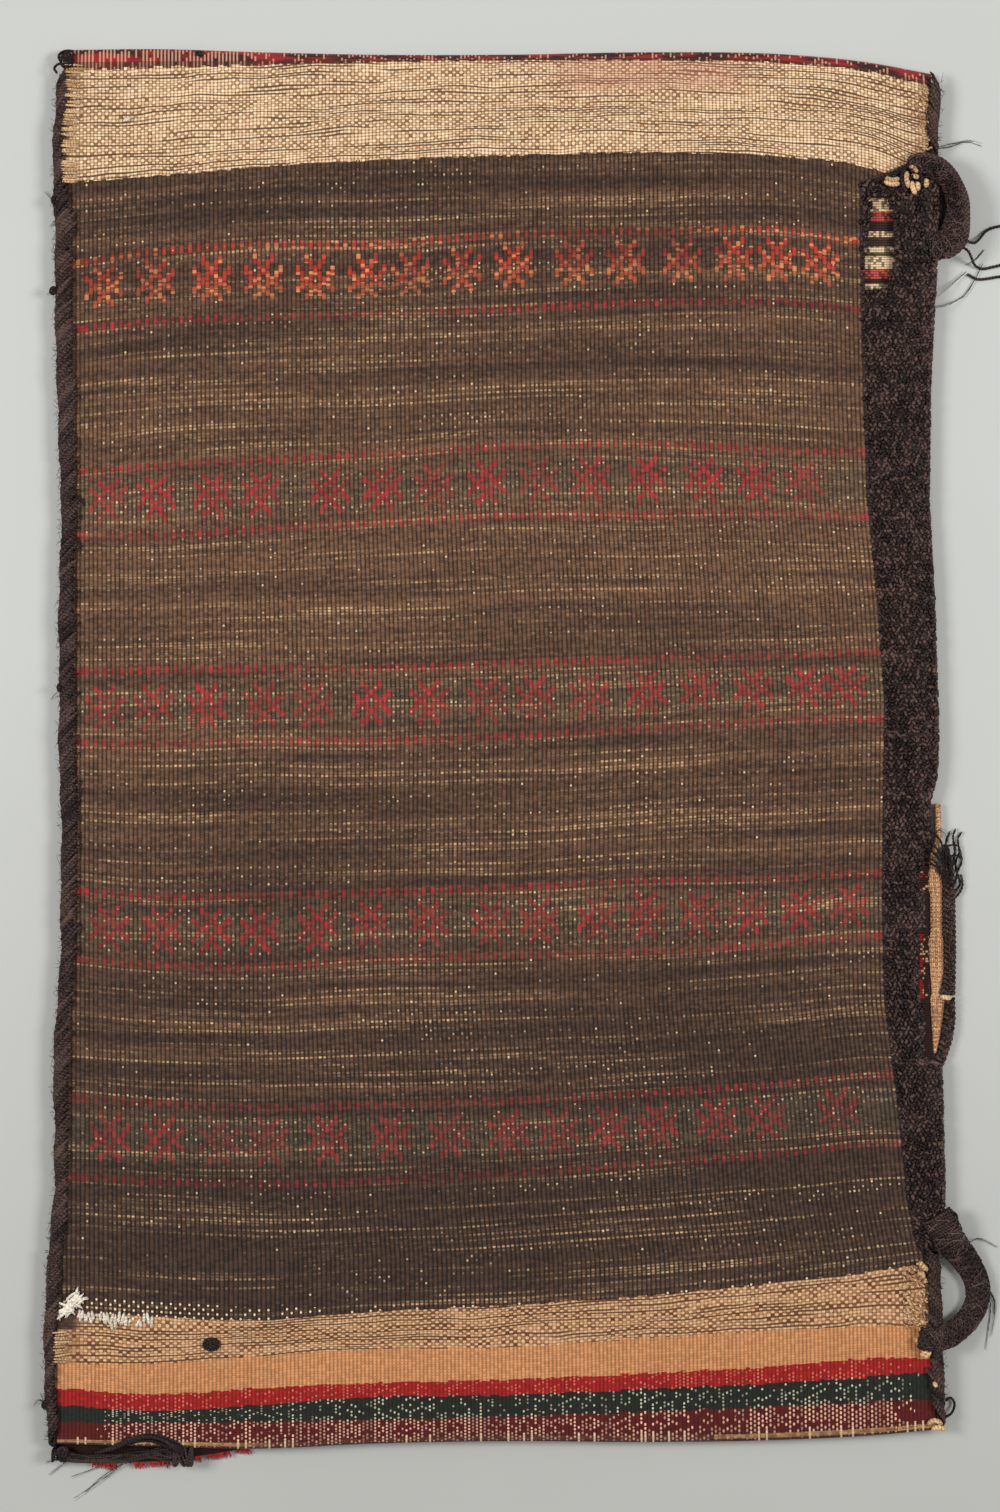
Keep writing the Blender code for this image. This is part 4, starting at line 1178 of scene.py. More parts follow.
upper_loop = make_loop(
    "upper_loop_cord",
    UPPER_LOOP,
    widths=(10, 12.5, 14.5, 16.5, 19, 13),
    heights=(4, 4.8, 5, 5, 4.6, 3),
    tilts=(0, -34, -52, -50, -28, -4),
    wrap_pitch=1.7,
    wrapped=1.0,
    rope=True,
    hairs=640,
    light=1.7,
)
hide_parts("upper_loop")
lower_loop = make_loop(
    "lower_loop_cord",
    LOWER_LOOP,
    widths=(21, 18, 15, 14, 15, 13.5),
    heights=(5.8, 6.6, 6.8, 6.6, 6.2, 4.8),
    tilts=(0, 0),
    wrap_pitch=1.9,
    wrapped=0.2,
    rope=False,
    hairs=420,
    light=1.0,
)
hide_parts("lower_loop")

# The slit at the right. The tan wool selvedge of the face lies bare there in two shouldered lengths, and
# the dark overcast that once covered it hangs beside it in two torn lengths, like a loose braid.
SELVEDGE = ((-29, 261.0, 4.0), (-48, 261.6, 4.0), (-56, 260.0, 4.2), (-62, 257.8, 4.2))
SELVEDGE += ((-70, 258.0, 4.8), (-74, 259.0, 10.6), (-80, 259.3, 10.2), (-86, 260.0, 8.0))
SELVEDGE += ((-110, 260.2, 7.8), (-114, 260.0, 10.6), (-134, 260.6, 9.4), (-143, 260.2, 6.2))
SELVEDGE += ((-147, 259.6, 4.4), (-150, 261.0, 10.2), (-163, 260.6, 7.8), (-175, 260.0, 5.0))
SELVEDGE += ((-184, 259.2, 2.2),)
SELVEDGE_HEIGHT = 5.0
SELVEDGE_ROWS = 150
SELVEDGE_SIDES = 12
WARPS = 7
tan_wool = yarn_finish("tan_wool", paint(142, 94, 62), paint(240, 192, 142), 2.2, 0.9)


def make_selvedge():
    """Seven tan warps side by side over a plain core, with a cross thread every few millimetres."""
    bundle = Bundle()
    table = np.array(SELVEDGE)[::-1]
    y = np.linspace(table[0, 0], table[-1, 0], SELVEDGE_ROWS)
    middle = np.interp(y, table[:, 0], table[:, 1])
    width = np.interp(y, table[:, 0], table[:, 2])
    turns = 2 * np.pi * np.arange(SELVEDGE_SIDES) / SELVEDGE_SIDES
    core = np.empty((1, len(y), SELVEDGE_SIDES, 3))
    core[0, :, :, 0] = middle[:, None] + (width[:, None] / 2 - 0.7) * np.cos(turns)
    core[0, :, :, 1] = y[:, None]
    core[0, :, :, 2] = SELVEDGE_HEIGHT / 2 * (1 + 0.92 * np.sin(turns))
    bundle.rings(core, 0.35)
    for warp in range(WARPS):
        side = (warp + 0.5) / WARPS * 2 - 1
        weave = 0.16 * np.sin(y * 2.1 + warp * np.pi)
        x = middle + side * (width / 2 - 0.6) + chance.normal(0, 0.05, len(y))
        z = SELVEDGE_HEIGHT / 2 * (1 + np.sqrt(1 - 0.86 * side**2)) - 0.3 + weave
        bundle.tubes(np.stack([x, y, z], axis=1), 0.72 * rounded(len(y), 0.4), 6)
    for place in np.arange(table[0, 0] + 4, table[-1, 0] - 2, 3.1):
        turn = np.linspace(-0.25, np.pi + 0.25, 12)
        half = np.interp(place, table[:, 0], table[:, 2]) / 2
        x = np.interp(place, table[:, 0], table[:, 1]) + (half + 0.1) * np.cos(turn)
        z = SELVEDGE_HEIGHT / 2 + (SELVEDGE_HEIGHT / 2 + 0.25) * np.sin(turn)
        lean = chance.normal(0, 0.4) * np.cos(turn)
        bundle.tubes(np.stack([x, place + lean, z], axis=1), 0.42, 4, upright=ALONG, shade=0.1)
    return bundle.make("bare_selvedge", tan_wool)


selvedge = make_selvedge()
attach(selvedge, "root")
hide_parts("tan_selvedge")

TORN_UPPER = ((-56, 266.2, 4.6), (-72, 268.0, 6.2), (-88, 268.4, 8.0), (-120, 268.8, 8.2))
TORN_UPPER += ((-148, 268.2, 8.4),)
TORN_LOWER = ((-149.5, 269.2, 5.8), (-163, 268.6, 8.0), (-176, 266.8, 7.8), (-190, 262.4, 7.0))
TORN_LOWER += ((-198, 258.0, 4.6),)
PLAIT_PITCH = 9.5
PLAIT_STEPS = 2.6
NET_STATIONS = 22
# Frayed ends that stand open as a net above the upper length: places across, along and up
NET = (
    ((267, -78, 4.5), (264.8, -70, 6.5), (263.6, -60, 7.2), (266.4, -52, 6.8), (268.4, -46, 5.6)),
    ((268, -80, 4.5), (270, -72, 6.0), (268.8, -63, 7.0), (266.0, -57, 6.2), (266.8, -49, 5.0)),
    (
        (269, -82, 4.0),
        (273.2, -74, 4.4),
        (272.2, -66, 3.6),
        (274.8, -59, 2.6),
        (274, -51, 1.6),
        (276.6, -46.5, 1.2),
    ),
    ((269, -86, 3.6), (275.2, -79, 3.0), (273.6, -72, 2.2), (276.4, -65, 1.4), (275.4, -57, 1.0)),
    ((267, -74, 4.5), (270.6, -66, 5.0), (271.8, -58, 4.2), (270.8, -50, 3.0), (272.6, -44.5, 1.6)),
    ((268, -90, 3.4), (273.6, -86, 2.6), (276.8, -80, 1.8), (276.2, -73, 1.0)),
    ((265, -66, 5.6), (268.4, -62, 5.6), (272.4, -61, 4.0), (275.6, -62.5, 2.0)),
    ((264.6, -57, 6.0), (268.0, -55, 5.4), (271.6, -54.5, 4.0), (274.6, -55.5, 2.0)),
    ((250.5, -47, 9.0), (256, -52, 8.6), (261, -58, 8.2), (265.5, -66, 6.5), (267, -74, 5.4)),
    ((251, -53, 9.0), (256.5, -58, 8.6), (261.5, -63, 8.0), (266, -70, 6.0), (267.5, -78, 5.2)),
    ((250.8, -60, 9.0), (256, -63, 8.8), (260, -66, 8.2), (265, -74, 6.0), (267, -82, 5.0)),
    ((251.5, -65, 9.0), (257, -66.5, 8.4), (262, -70, 7.6), (266, -79, 5.5)),
    ((252, -43, 8.6), (258, -47, 8.0), (262.4, -52, 7.4), (265.6, -60, 6.4), (266.4, -68, 5.6)),
)


def make_torn(name, table, net):
    """Three strands plaited: each swings across by sin p and up by sin 2p, a third of a turn apart."""
    bundle = Bundle()
    table = np.array(table)[::-1]
    count = int((table[-1, 0] - table[0, 0]) * PLAIT_STEPS)
    y = np.linspace(table[0, 0], table[-1, 0], count)
    middle = np.interp(y, table[:, 0], table[:, 1])
    width = np.interp(y, table[:, 0], table[:, 2])
    for strand in range(3):
        phase = y * (2 * np.pi / PLAIT_PITCH) + strand * 2 * np.pi / 3
        for ply in range(3):
            offset = ply * 2.1 + y * 2.4
            x = middle + (width / 2 - 1.1) * np.sin(phase) + 0.62 * np.cos(offset)
            z = 3.1 + 1.15 * np.sin(2 * phase) + 0.62 * np.sin(offset) + 0.25 * np.sin(y * 0.4)
            fuzzy = chance.normal(0, 0.05, (2, len(y)))
            route = np.stack([x + fuzzy[0], y, z + fuzzy[1]], axis=1)
            bundle.tubes(route, 0.78 * rounded(len(y), 0.3), 5)
    for route in net:
        path = smooth_route(route, NET_STATIONS)
        taper = np.linspace(1.1, 0.5, NET_STATIONS)
        for ply in range(2):
            turn = np.arange(NET_STATIONS) * 1.3 + ply * np.pi
            side = np.stack([0.5 * np.cos(turn), np.zeros(NET_STATIONS), 0.5 * np.sin(turn)], axis=1)
            bundle.tubes(path + side, 0.6 * taper, 4, shade=0.3 * chance.random())
    return bundle.make(name, dark_wool)


for name, node, table, net in (
    ("torn_braid_upper", "torn_edging_upper", TORN_UPPER, NET),
    ("torn_braid_lower", "torn_edging_lower", TORN_LOWER, ()),
):
    piece = make_torn(name, table, net)
    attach(piece, "root")
    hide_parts(node)

# The lock of dark hair yarn that runs from the corner along the hem to its own knot, with a slack arc of
# the same yarn above it and loose hairs at both ends.
LOCK = ((-288, -432.0, 8.6), (-280, -433.6, 8.9), (-270, -434.8, 9.0), (-252, -435.2, 9.0))
LOCK += ((-238, -433.6, 9.0), (-226, -431.6, 9.2), (-214, -432.0, 9.8), (-205, -433.5, 9.0))
LOCK_ARC = ((-262, -431.6, 10), (-252, -428.6, 10.6), (-240, -423.6, 11.4), (-229, -421.4, 12.0))
LOCK_ARC += ((-220, -423.4, 12.4), (-211.5, -427.5, 12.4), (-206.5, -432.5, 11))
LOCK_HAIRS = 44
LOCK_STATIONS = 44
ARC_HAIRS = 26
ARC_STATIONS = 30


def make_lock():
    """Hairs laid side by side within the lock's thickness, with windings about its knot and corner."""
    bundle = Bundle()
    path = smooth_route(LOCK, LOCK_STATIONS)
    share = np.linspace(0, 1, LOCK_STATIONS)
    knot = np.exp(-(((share - 0.84) / 0.09) ** 2))
    corner = np.exp(-((share / 0.12) ** 2))
    thick = 2.3 + 2.0 * knot + 1.2 * corner
    thick[-1] *= 0.5
    angle = chance.random(LOCK_HAIRS) * 2 * np.pi
    distance = np.sqrt(chance.random(LOCK_HAIRS))
    for turn, out in zip(angle, distance):
        swirl = turn + share * chance.normal(0, 2.5) + 0.4 * np.sin(share * 17 + turn * 5)
        y = out * thick * 1.15 * np.cos(swirl)
        z = out * np.minimum(thick, 2.4) * np.sin(swirl)
        start = int(chance.integers(0, 4))
        end = LOCK_STATIONS - int(chance.integers(0, 5))
        route = path + np.stack([np.zeros(LOCK_STATIONS), y, z], axis=1)
        bundle.tubes(route[start:end], 0.55 * rounded(end - start, 0.2), 4)
    for centre_x, span, size, turns in ((-207.5, 5.8, 6.6, 9), (-284.0, 4.6, 4.0, 6)):
        t = np.linspace(0, turns * 2 * np.pi, turns * 14)
        x = centre_x + span * np.sin(t * 0.31) + 0.3 * np.cos(t * 1.7)
        middle_y = np.interp(centre_x, path[:, 0], path[:, 1])
        middle_z = np.interp(centre_x, path[:, 0], path[:, 2])
        y = middle_y + size * np.cos(t)
        z = middle_z + np.minimum(size, 3.0) * np.sin(t)
        bundle.tubes(np.stack([x, y, z], axis=1), 0.8 * rounded(len(t)), 5, upright=ACROSS_BAG)
    arc = smooth_route(LOCK_ARC, ARC_STATIONS)
    level = unit(np.cross(unit(np.gradient(arc, axis=0)), UP))
    thick = np.linspace(0.5, 3.6, ARC_STATIONS)
    for turn, out in zip(chance.random(ARC_HAIRS) * 2 * np.pi, np.sqrt(chance.random(ARC_HAIRS))):
        swirl = turn + np.linspace(0, chance.normal(0, 2.0), ARC_STATIONS)
        aside = level * (out * thick * np.cos(swirl))[:, None]
        offset = aside + UP * (0.45 * out * thick * np.sin(swirl))[:, None]
        bundle.tubes(arc + offset, 0.55 * rounded(ARC_STATIONS, 0.25), 4, shade=0.5 * chance.random())
    return bundle.make("hair_lock", lock_hair)


lock_hair = yarn_finish("lock_hair", paint(14, 9, 9), paint(78, 60, 54), 1.9, 0.5, 0.0, 0.9)
lock = make_lock()
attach(lock, "root")
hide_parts("corner_lock")

# Two loose ends of black two-ply yarn that leave the upper loop's outer side and drop to the floor: a long
# one, and one that turns back.
TIE_LONG = ((276.6, 320.4, 14.2), (280.8, 318.7, 12.8), (283.6, 319.1, 8.8), (287, 322.1, 3.8))
TIE_LONG += ((291.2, 327.1, 1.4), (296, 329.5, 1.2), (302, 330.9, 1.2), (308, 333.5, 1.2), (314, 333.9, 1.2))
TIE_LOOPED = ((274.6, 316.4, 13.9), (279.2, 313.1, 12.6), (281.8, 309.7, 8.0), (284.4, 306.1, 3.2))
TIE_LOOPED += ((289, 303.9, 1.3), (296, 305.1, 1.2), (303, 306.5, 1.2), (309.5, 305.3, 1.2))
TIE_LOOPED += ((311.5, 301.3, 1.2), (308, 298.1, 1.2), (301, 299.1, 1.2), (293, 297.9, 1.2))
TIE_LOOPED += ((286, 297.5, 1.2), (280, 300.5, 1.2))
TIE_TURN = 4.2
black_yarn = yarn_finish("black_yarn", paint(18, 14, 13), paint(84, 70, 64), 1.6, 0.7, 0.0)
for name, node, knots in (
    ("long_tie", "tie_end_long", TIE_LONG),
    ("looped_tie", "tie_end_looped", TIE_LOOPED),
):
    bundle = Bundle()
    stations = 12 * len(knots)
    route = smooth_route(knots, stations)
    ahead = unit(np.gradient(route, axis=0))
    level = unit(np.cross(ahead, UP))
    rise = np.cross(level, ahead)
    total = np.linalg.norm(np.diff(route, axis=0), axis=1).sum()
    for ply in range(2):
        turn = (np.linspace(0, total, stations) / TIE_TURN * 2 * np.pi + ply * np.pi)[:, None]
        bundle.tubes(route + 0.48 * (level * np.cos(turn) + rise * np.sin(turn)), 0.52, 6)
    tie = bundle.make(name, black_yarn)
    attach(tie, "root")
    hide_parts(node)

# The pile face: the other half of the woven length, knotted in madder red, brown and black wool, and
# lying on its tufts. Its flat inner side shows only in the slit and in the worn window.
FACE_END = ((-292, -431.5), (-253, -439), (-216, -437), (-178, -431), (-156, -424.5), (265, -413))
SLIT_FACE_EDGE = ((-189.5, 258.4), (-168, 257.2), (-152, 255.3), (-55.5, 255.3))
FACE_TOP = 436.0 - FOLD_RADIUS - 32.0
FACE_ROWS = 150
FACE_COLUMNS = 90
COARSE_STEP = 6
INNER_RIB = 1.7
INNER_ROW = 1.5


def face_finish():
    """Dark madder wool below, and on the inner side stripes under the window and checks in the slit."""
    wool = Finish("pile_wool", 0.95)
    place = wool.node("ShaderNodeTexCoord", output=3)
    x, y, _ = wool.parts(place)
    x = x * 1000.0
    y = y * 1000.0
    tufts = wool.noise(place, 330.0, 2.0)
    pile = wool.mix(tufts.rise(0.3, 0.7), paint(58, 20, 20), paint(138, 40, 38))
    stripe = wool.node(
        "ShaderNodeValToRGB",
        {
            "stops": [
                (0.0, paint(60, 44, 38)),
                (0.055, paint(238, 208, 166)),
                (0.115, paint(58, 42, 38)),
                (0.165, paint(190, 84, 72)),
                (0.27, paint(238, 208, 166)),
                (0.40, paint(84, 92, 70)),
                (0.44, paint(236, 204, 160)),
                (0.50, paint(70, 58, 48)),
                (0.60, paint(236, 202, 158)),
                (0.66, paint(56, 40, 36)),
                (0.76, paint(190, 80, 70)),
                (0.86, paint(236, 204, 160)),
            ]
        },
        Fac=(y - 287.0) / 60.0,
    )
    stripe.socket.node.color_ramp.interpolation = "CONSTANT"
    across = x / INNER_RIB
    up = y / INNER_ROW
    rib = across.floor()
    row = up.floor()
    spot = wool.dice(rib, row)
    # Painted shade: the inner side's threads darken towards the gaps between them
    thread_gap_shade = (1 - abs((up - row) * 2 - 1)).rise(0.0, 0.8) * (1 - abs((across - rib) * 2 - 1)).rise(-0.4, 0.6)
    stripe = wool.mix((spot > 0.66) * 0.75, stripe, paint(62, 42, 36))
    stripe = wool.brighten(stripe, 0.4 + thread_gap_shade * 0.75)
    spans = (y > -83.0) * (y < -71.0) + (y > -150.0) * (y < -110.0) * 0.8 + (y > -51.0) * (y < -44.0)
    outer_side = x > 252.4
    check = wool.mix(spot > 0.66 - outer_side * 0.5, paint(176, 34, 34), paint(216, 176, 134))
    check_spot = (wool.dice(rib, row, 5.0) < 0.58 - outer_side * 0.42) * spans
    slit = wool.mix(check_spot, paint(56, 34, 29), check)
    slit = wool.brighten(slit, 0.3 + thread_gap_shade * 0.75)
    inner = wool.mix(y > 240.0, slit, stripe)
    upward = wool.node("ShaderNodeNewGeometry", output=1)
    colour = wool.mix(wool.parts(upward)[2] > 0.3, pile, inner)
    return wool.dress(colour, tufts, 0.6)


def make_face():
    """A closed sheet with a fine lumpy underside and a coarse inner side."""
    mouth = straight(FACE_END, 0.0)
    y_line = np.linspace(mouth, FACE_TOP, FACE_ROWS)
    across = np.linspace(1, 0, FACE_COLUMNS)
    y = np.repeat(y_line[:, None], len(across), axis=1)
    left = straight(LEFT_SIDE, y) + CLOTH_INSET
    in_slit = (y > SLIT_FACE_EDGE[0][0]) & (y < SLIT_FACE_EDGE[-1][0])
    closed_edge = np.minimum(straight(BAND_EDGE, y), straight(RIGHT_SIDE, y)) - 4.4
    right = np.where(in_slit, straight(SLIT_FACE_EDGE, y), closed_edge)
    x = left + across * (right - left)
    near_mouth = 1 - ease(y, mouth, mouth + 40)
    y = y + near_mouth * (straight(FACE_END, x) - mouth)
    low, top = face_levels(x, y)
    lumps = 0.5 * chance.random(x.shape) * ease(top - low, 2.5, 4.5)
    outer = np.stack([x, y, low + lumps], axis=2)
    inner = np.stack([x, y, top], axis=2)
    keep_rows = sorted(set(range(0, FACE_ROWS, COARSE_STEP)) | {FACE_ROWS - 1})
    keep_columns = sorted(set(range(0, FACE_COLUMNS, COARSE_STEP)) | {FACE_COLUMNS - 1})
    return thick_sheet("pile_face", outer, inner, keep_rows, keep_columns, face_finish())


face = make_face()
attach(face, "root")
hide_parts("bag_cloth")

# The pile's tufts where they show: short cut locks along the mouth, bright red where they pass the hem at
# the lower left, and dark locks on the floor in the upper loop's eye, laid there as painted shade for its
# deep shadow.
RED_SPANS = ((-263.3, -250.3), (-237.8, -232.9), (-229.2, -218), (-200.6, -196.9), (-192, -179.5))
RED_SPANS += ((-173.4, -169),)
HEM_TUFTS = 330
EYE_SPAN = (317, 363)
EYE_TUFTS = 340


def make_tufts():
    """Short tapered locks that point out from the mouth and droop to the floor."""
    bundle = Bundle()
    red_places = [np.linspace(start, end, int((end - start) * 3.2)) for start, end in RED_SPANS]
    x = np.concatenate([np.linspace(-284, 258, HEM_TUFTS)] + red_places)
    x = x + chance.normal(0, 0.5, len(x))
    red = np.zeros(len(x), bool)
    for start, end in RED_SPANS:
        red |= (x > start - 0.8) & (x < end + 0.8)
    under_hem = straight(list(zip(ACROSS, LINES["hem"])), x) - 1.0
    root = np.minimum(straight(FACE_END, x), under_hem) + 2.5
    reach = np.where(red, 4.4, np.where(x < RED_SPANS[-1][1], 1.2, -0.9)) + chance.normal(0, 0.8, len(x))
    steps = np.linspace(0, 1, 4)
    y = root[:, None] - (reach + 1.5)[:, None] * steps
    z = 1.0 + chance.random(len(x))[:, None] * 3.6 * (1 - 0.55 * steps)
    sway = chance.normal(0, 1.4, (len(x), 1)) * steps**2
    routes = np.stack([x[:, None] + sway, y, z], axis=2)
    radius = np.array([0.9, 0.95, 0.7, 0.25]) * (1 + chance.normal(0, 0.15, (len(x), 1)))
    shade = np.where(red, 0.75 + 0.25 * chance.random(len(x)), 0.3 * chance.random(len(x)))
    bundle.tubes(routes, radius, 5, shade=shade)
    red_wool = yarn_finish("tuft_wool", paint(62, 22, 22), paint(222, 48, 44), 3.0, 0.9)
    return bundle.make("pile_tufts", red_wool)


def make_eye_shade_tufts():
    """Dark locks that stand out from the pile's side on the floor of the upper loop's eye: painted shade for
    its deep shadow.
    """
    bundle = Bundle()
    steps = np.linspace(0, 1, 5)
    y = chance.uniform(*EYE_SPAN, EYE_TUFTS)
    reach = chance.uniform(10, 16, EYE_TUFTS)
    x = 254.5 + reach[:, None] * steps
    z = chance.uniform(1.4, 4.8, EYE_TUFTS)[:, None] * (1 - 0.75 * steps) + 0.5
    routes = np.stack([x, y[:, None] + chance.normal(0, 1.6, (EYE_TUFTS, 1)) * steps**2, z], axis=2)
    bundle.tubes(routes, 0.8 * np.array([1.0, 1.0, 0.9, 0.8, 0.4]), 4, shade=0.15 * chance.random(EYE_TUFTS))
    eye_shade_wool = yarn_finish("eye_shade_wool", paint(20, 18, 18), paint(70, 66, 64), 3.0, 0.9)
    return bundle.make("eye_shade_tufts", eye_shade_wool)


for tufts in (make_tufts(), make_eye_shade_tufts()):
    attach(tufts, "root")

# Loose hairs and yarn ends: dark wisps that leave the corners, loops and band, lying on the floor or on
# the cloth. Each is a few hairs that were never twisted in, or have worked out of their yarn.
WISP_STATIONS = 16
WISP_HAIRS = 4
WISPS = (
    (
        (-218.6, -433.3, 9),
        (-241.6, -436.4, 5),
        (-254.6, -446.9, 1),
        (-267.6, -455.6, 0.6),
        (-276.3, -461.2, 0.5),
    ),
    ((-221.7, -434.5, 8.5), (-245.3, -439.5, 4), (-260.2, -449.4, 0.8), (-268.8, -457.4, 0.5)),
    ((-227.9, -432.6, 8), (-246.5, -434.5, 5), (-261.4, -441.9, 1), (-277.5, -448.1, 0.5)),
    ((-276.3, -435.1, 5), (-283.7, -440.7, 1.5), (-291.2, -446.9, 0.5)),
    ((-280, -433.3, 6), (-286.2, -437, 2), (-293.6, -439.5, 0.5)),
    ((260.6, 378.3, 9), (268.1, 380.8, 4), (275.5, 382.7, 0.8), (283.6, 383.3, 0.5)),
    ((260.6, 377.7, 8), (269.3, 379.6, 3), (279.2, 383.3, 0.8), (289.2, 380.8, 0.5)),
    ((279.2, 302.1, 2.2), (271.2, 295.2, 3), (261.9, 287.8, 8), (255.7, 283.5, 10.5)),
    (
        (289.8, 307, 1.6),
        (280.5, 289.7, 1.2),
        (273, 283.5, 2.5),
        (260.6, 279.1, 9),
        (237.1, 279.7, 12.6),
        (218.5, 283.5, 12.8),
    ),
    ((290.4, 315.7, 0.6), (285.4, 310.1, 0.6), (279.2, 305.8, 1)),
    ((293.5, -332.8, 3.8), (296.6, -339, 1.4), (296, -350.2, 0.8), (293.5, -360.7, 0.5)),
    ((292.9, -334.1, 3), (294.7, -342.7, 1), (293.5, -355.1, 0.6), (291.6, -368.8, 0.5)),
    ((292.3, -330.3, 3.6), (296.6, -336.5, 1.2), (297.8, -345.8, 0.5)),
    ((280.5, -301.2, 7), (286.7, -299.3, 3), (292.9, -301.8, 1.2), (299.1, -304.9, 0.6)),
    ((257.5, -50.1, 9), (261.9, -45.1, 6), (268.1, -48.9, 2), (273, -46.4, 0.8)),
    ((-285, 345.5, 6), (-289.9, 347.9, 3), (-293.6, 351.7, 0.8)),
    ((-285, 288.4, 6), (-289.9, 289.7, 3.5), (-293, 287.2, 1)),
    ((-282.5, 41.7, 6), (-287.4, 39.2, 3), (-290.5, 35.5, 0.8)),
    ((-293.6, -401, 6), (-298, -399.8, 3), (-301.7, -403.5, 0.8)),
)


def make_wisps():
    """Each wisp is a few fine hairs that part a little towards its free end."""
    bundle = Bundle()
    for route in WISPS:
        path = smooth_route(route, WISP_STATIONS)
        spread = np.linspace(0.1, 1.0, WISP_STATIONS)[:, None]
        for _ in range(WISP_HAIRS):
            off = chance.normal(0, 0.55, 3) * np.array([1.0, 1.0, 0.15])
            curl = chance.normal(0, 0.12, (WISP_STATIONS, 3)) * np.array([1.0, 1.0, 0.3])
            points = path + off * spread + curl
            points[:, 2] = np.maximum(points[:, 2], 0.35)
            bundle.tubes(points, 0.13 * np.linspace(1.3, 0.4, WISP_STATIONS), 3, shade=0.15)
    return bundle.make("loose_hairs", black_yarn)


wisps = make_wisps()
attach(wisps, "root")

# Fuzz: short stray fibres of black wool and hair, worked loose by wear, that stand out from the overcast
# edges and from the goat-hair band.


def make_fuzz():
    """Short curved fibres that start on an edge and bend outwards, each at a random lean."""
    bundle = Bundle()
    edges = ((LEFT_SIDE, -1, -425, 425, 420), (RIGHT_SIDE, 1, -412, 420, 330))
    steps = np.linspace(0, 1, 5)
    for side_line, outward, low, high, count in edges:
        y = chance.uniform(low, high, count)
        if outward > 0:
            y = y[(y < SLIT[0] - 4) | (y > SLIT[1] + 4)]
        count = len(y)
        line = BAND_EDGE if outward > 0 else side_line
        held = (y > BAND_BOTTOM) & (y < BAND_TOP)
        base = np.where(held, straight(line, y), straight(side_line, y))
        reach = chance.uniform(0.8, 3.4, count)
        lean = chance.normal(0, 2.4, count)
        x = (base - outward * 0.8)[:, None] + outward * (reach[:, None] * steps + 0.4)
        sway = y[:, None] + lean[:, None] * steps**1.5
        z = chance.uniform(2.5, 8.5, count)[:, None] + chance.normal(0, 0.9, count)[:, None] * steps
        bundle.tubes(np.stack([x, sway, z], axis=2), 0.16 * np.linspace(1.2, 0.5, 5), 3, shade=0.25)
    return bundle.make("edge_fuzz", black_yarn)


fuzz = make_fuzz()
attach(fuzz, "root")

# Pale wool: cream mending stitches round the upper loop's foot, cream knots along the lower right edge,
# the frayed white warps at the lower left, and the turns of cream weft at both ends of the cream bands,
# pulled over the overcast at the left and bulging at the right.
CREAM_STITCHES = (
    ((227.2, 359.1, 12.4), (232.1, 357.2, 13.2), (236.5, 358.5, 12.4)),
    ((227.2, 356.6, 12.4), (231.5, 354.8, 13.2), (236.5, 355.4, 12.4)),
    ((241.2, 362.6, 12.6), (240.8, 358.2, 13.8), (242.2, 352.6, 12.6)),
    ((242.6, 366, 12.6), (245.2, 364.8, 13.6), (247.6, 362, 12.6)),
    ((244, 360.4, 12.6), (246.2, 359.6, 13.4), (248.2, 359, 12.6)),
    ((244.2, 356.6, 12.6), (244.6, 352.6, 13.8), (246.4, 348.6, 12.6)),
    ((247.4, 356, 12.6), (248, 353.4, 13.6), (247.6, 351, 12.6)),
    ((252.6, 357.9, 13.4), (253.2, 355.4, 14.2), (252.6, 352.9, 13.2)),
    ((248.9, -312.4, 12.2), (250.7, -314.8, 13.4), (253.8, -317.9, 12.2)),
    ((248.2, -321, 12.2), (250.1, -319.2, 13.2), (251.3, -322.9, 12)),
    ((248.9, -353.9, 12), (250.7, -355.8, 13.2), (250.7, -360.1, 12)),
    ((246.4, -359.5, 11.6), (247, -360.7, 12.6), (247.6, -362.6, 11.6)),
    ((250.1, -371.3, 11.6), (252.6, -367.5, 13), (255.1, -366.3, 12)),
    ((252, -371.9, 11.6), (253.8, -370, 12.8), (255.7, -367.5, 12)),
    ((254.4, -413.4, 10), (258.2, -410.9, 11.6), (263.1, -413.4, 10.4)),
    ((256.9, -417.1, 9.6), (260.6, -415.3, 11.2), (265.6, -417.1, 9.8)),
    ((258.2, -387.4, 11), (258.8, -388.6, 11.8), (259.4, -389.9, 11)),
    ((262.6, -148.9, 6.2), (266, -149.3, 6.8), (269.4, -149.6, 5.8)),
)
cream_wool = yarn_finish("cream_wool", paint(156, 112, 72), paint(246, 212, 162), 1.8, 0.9)
white_wool = yarn_finish("white_wool", paint(196, 178, 152), paint(255, 250, 236), 1.8, 0.9)
WARP_SPAN = (-272.0, -226.0)
WARP_PITCH = 2.26


def over_cloth(x, y, lift):
    """Points that lie on the flatwoven back, lifted by so many millimetres."""
    return np.stack([x, y, back_levels(x, y)[1] + lift], axis=-1)


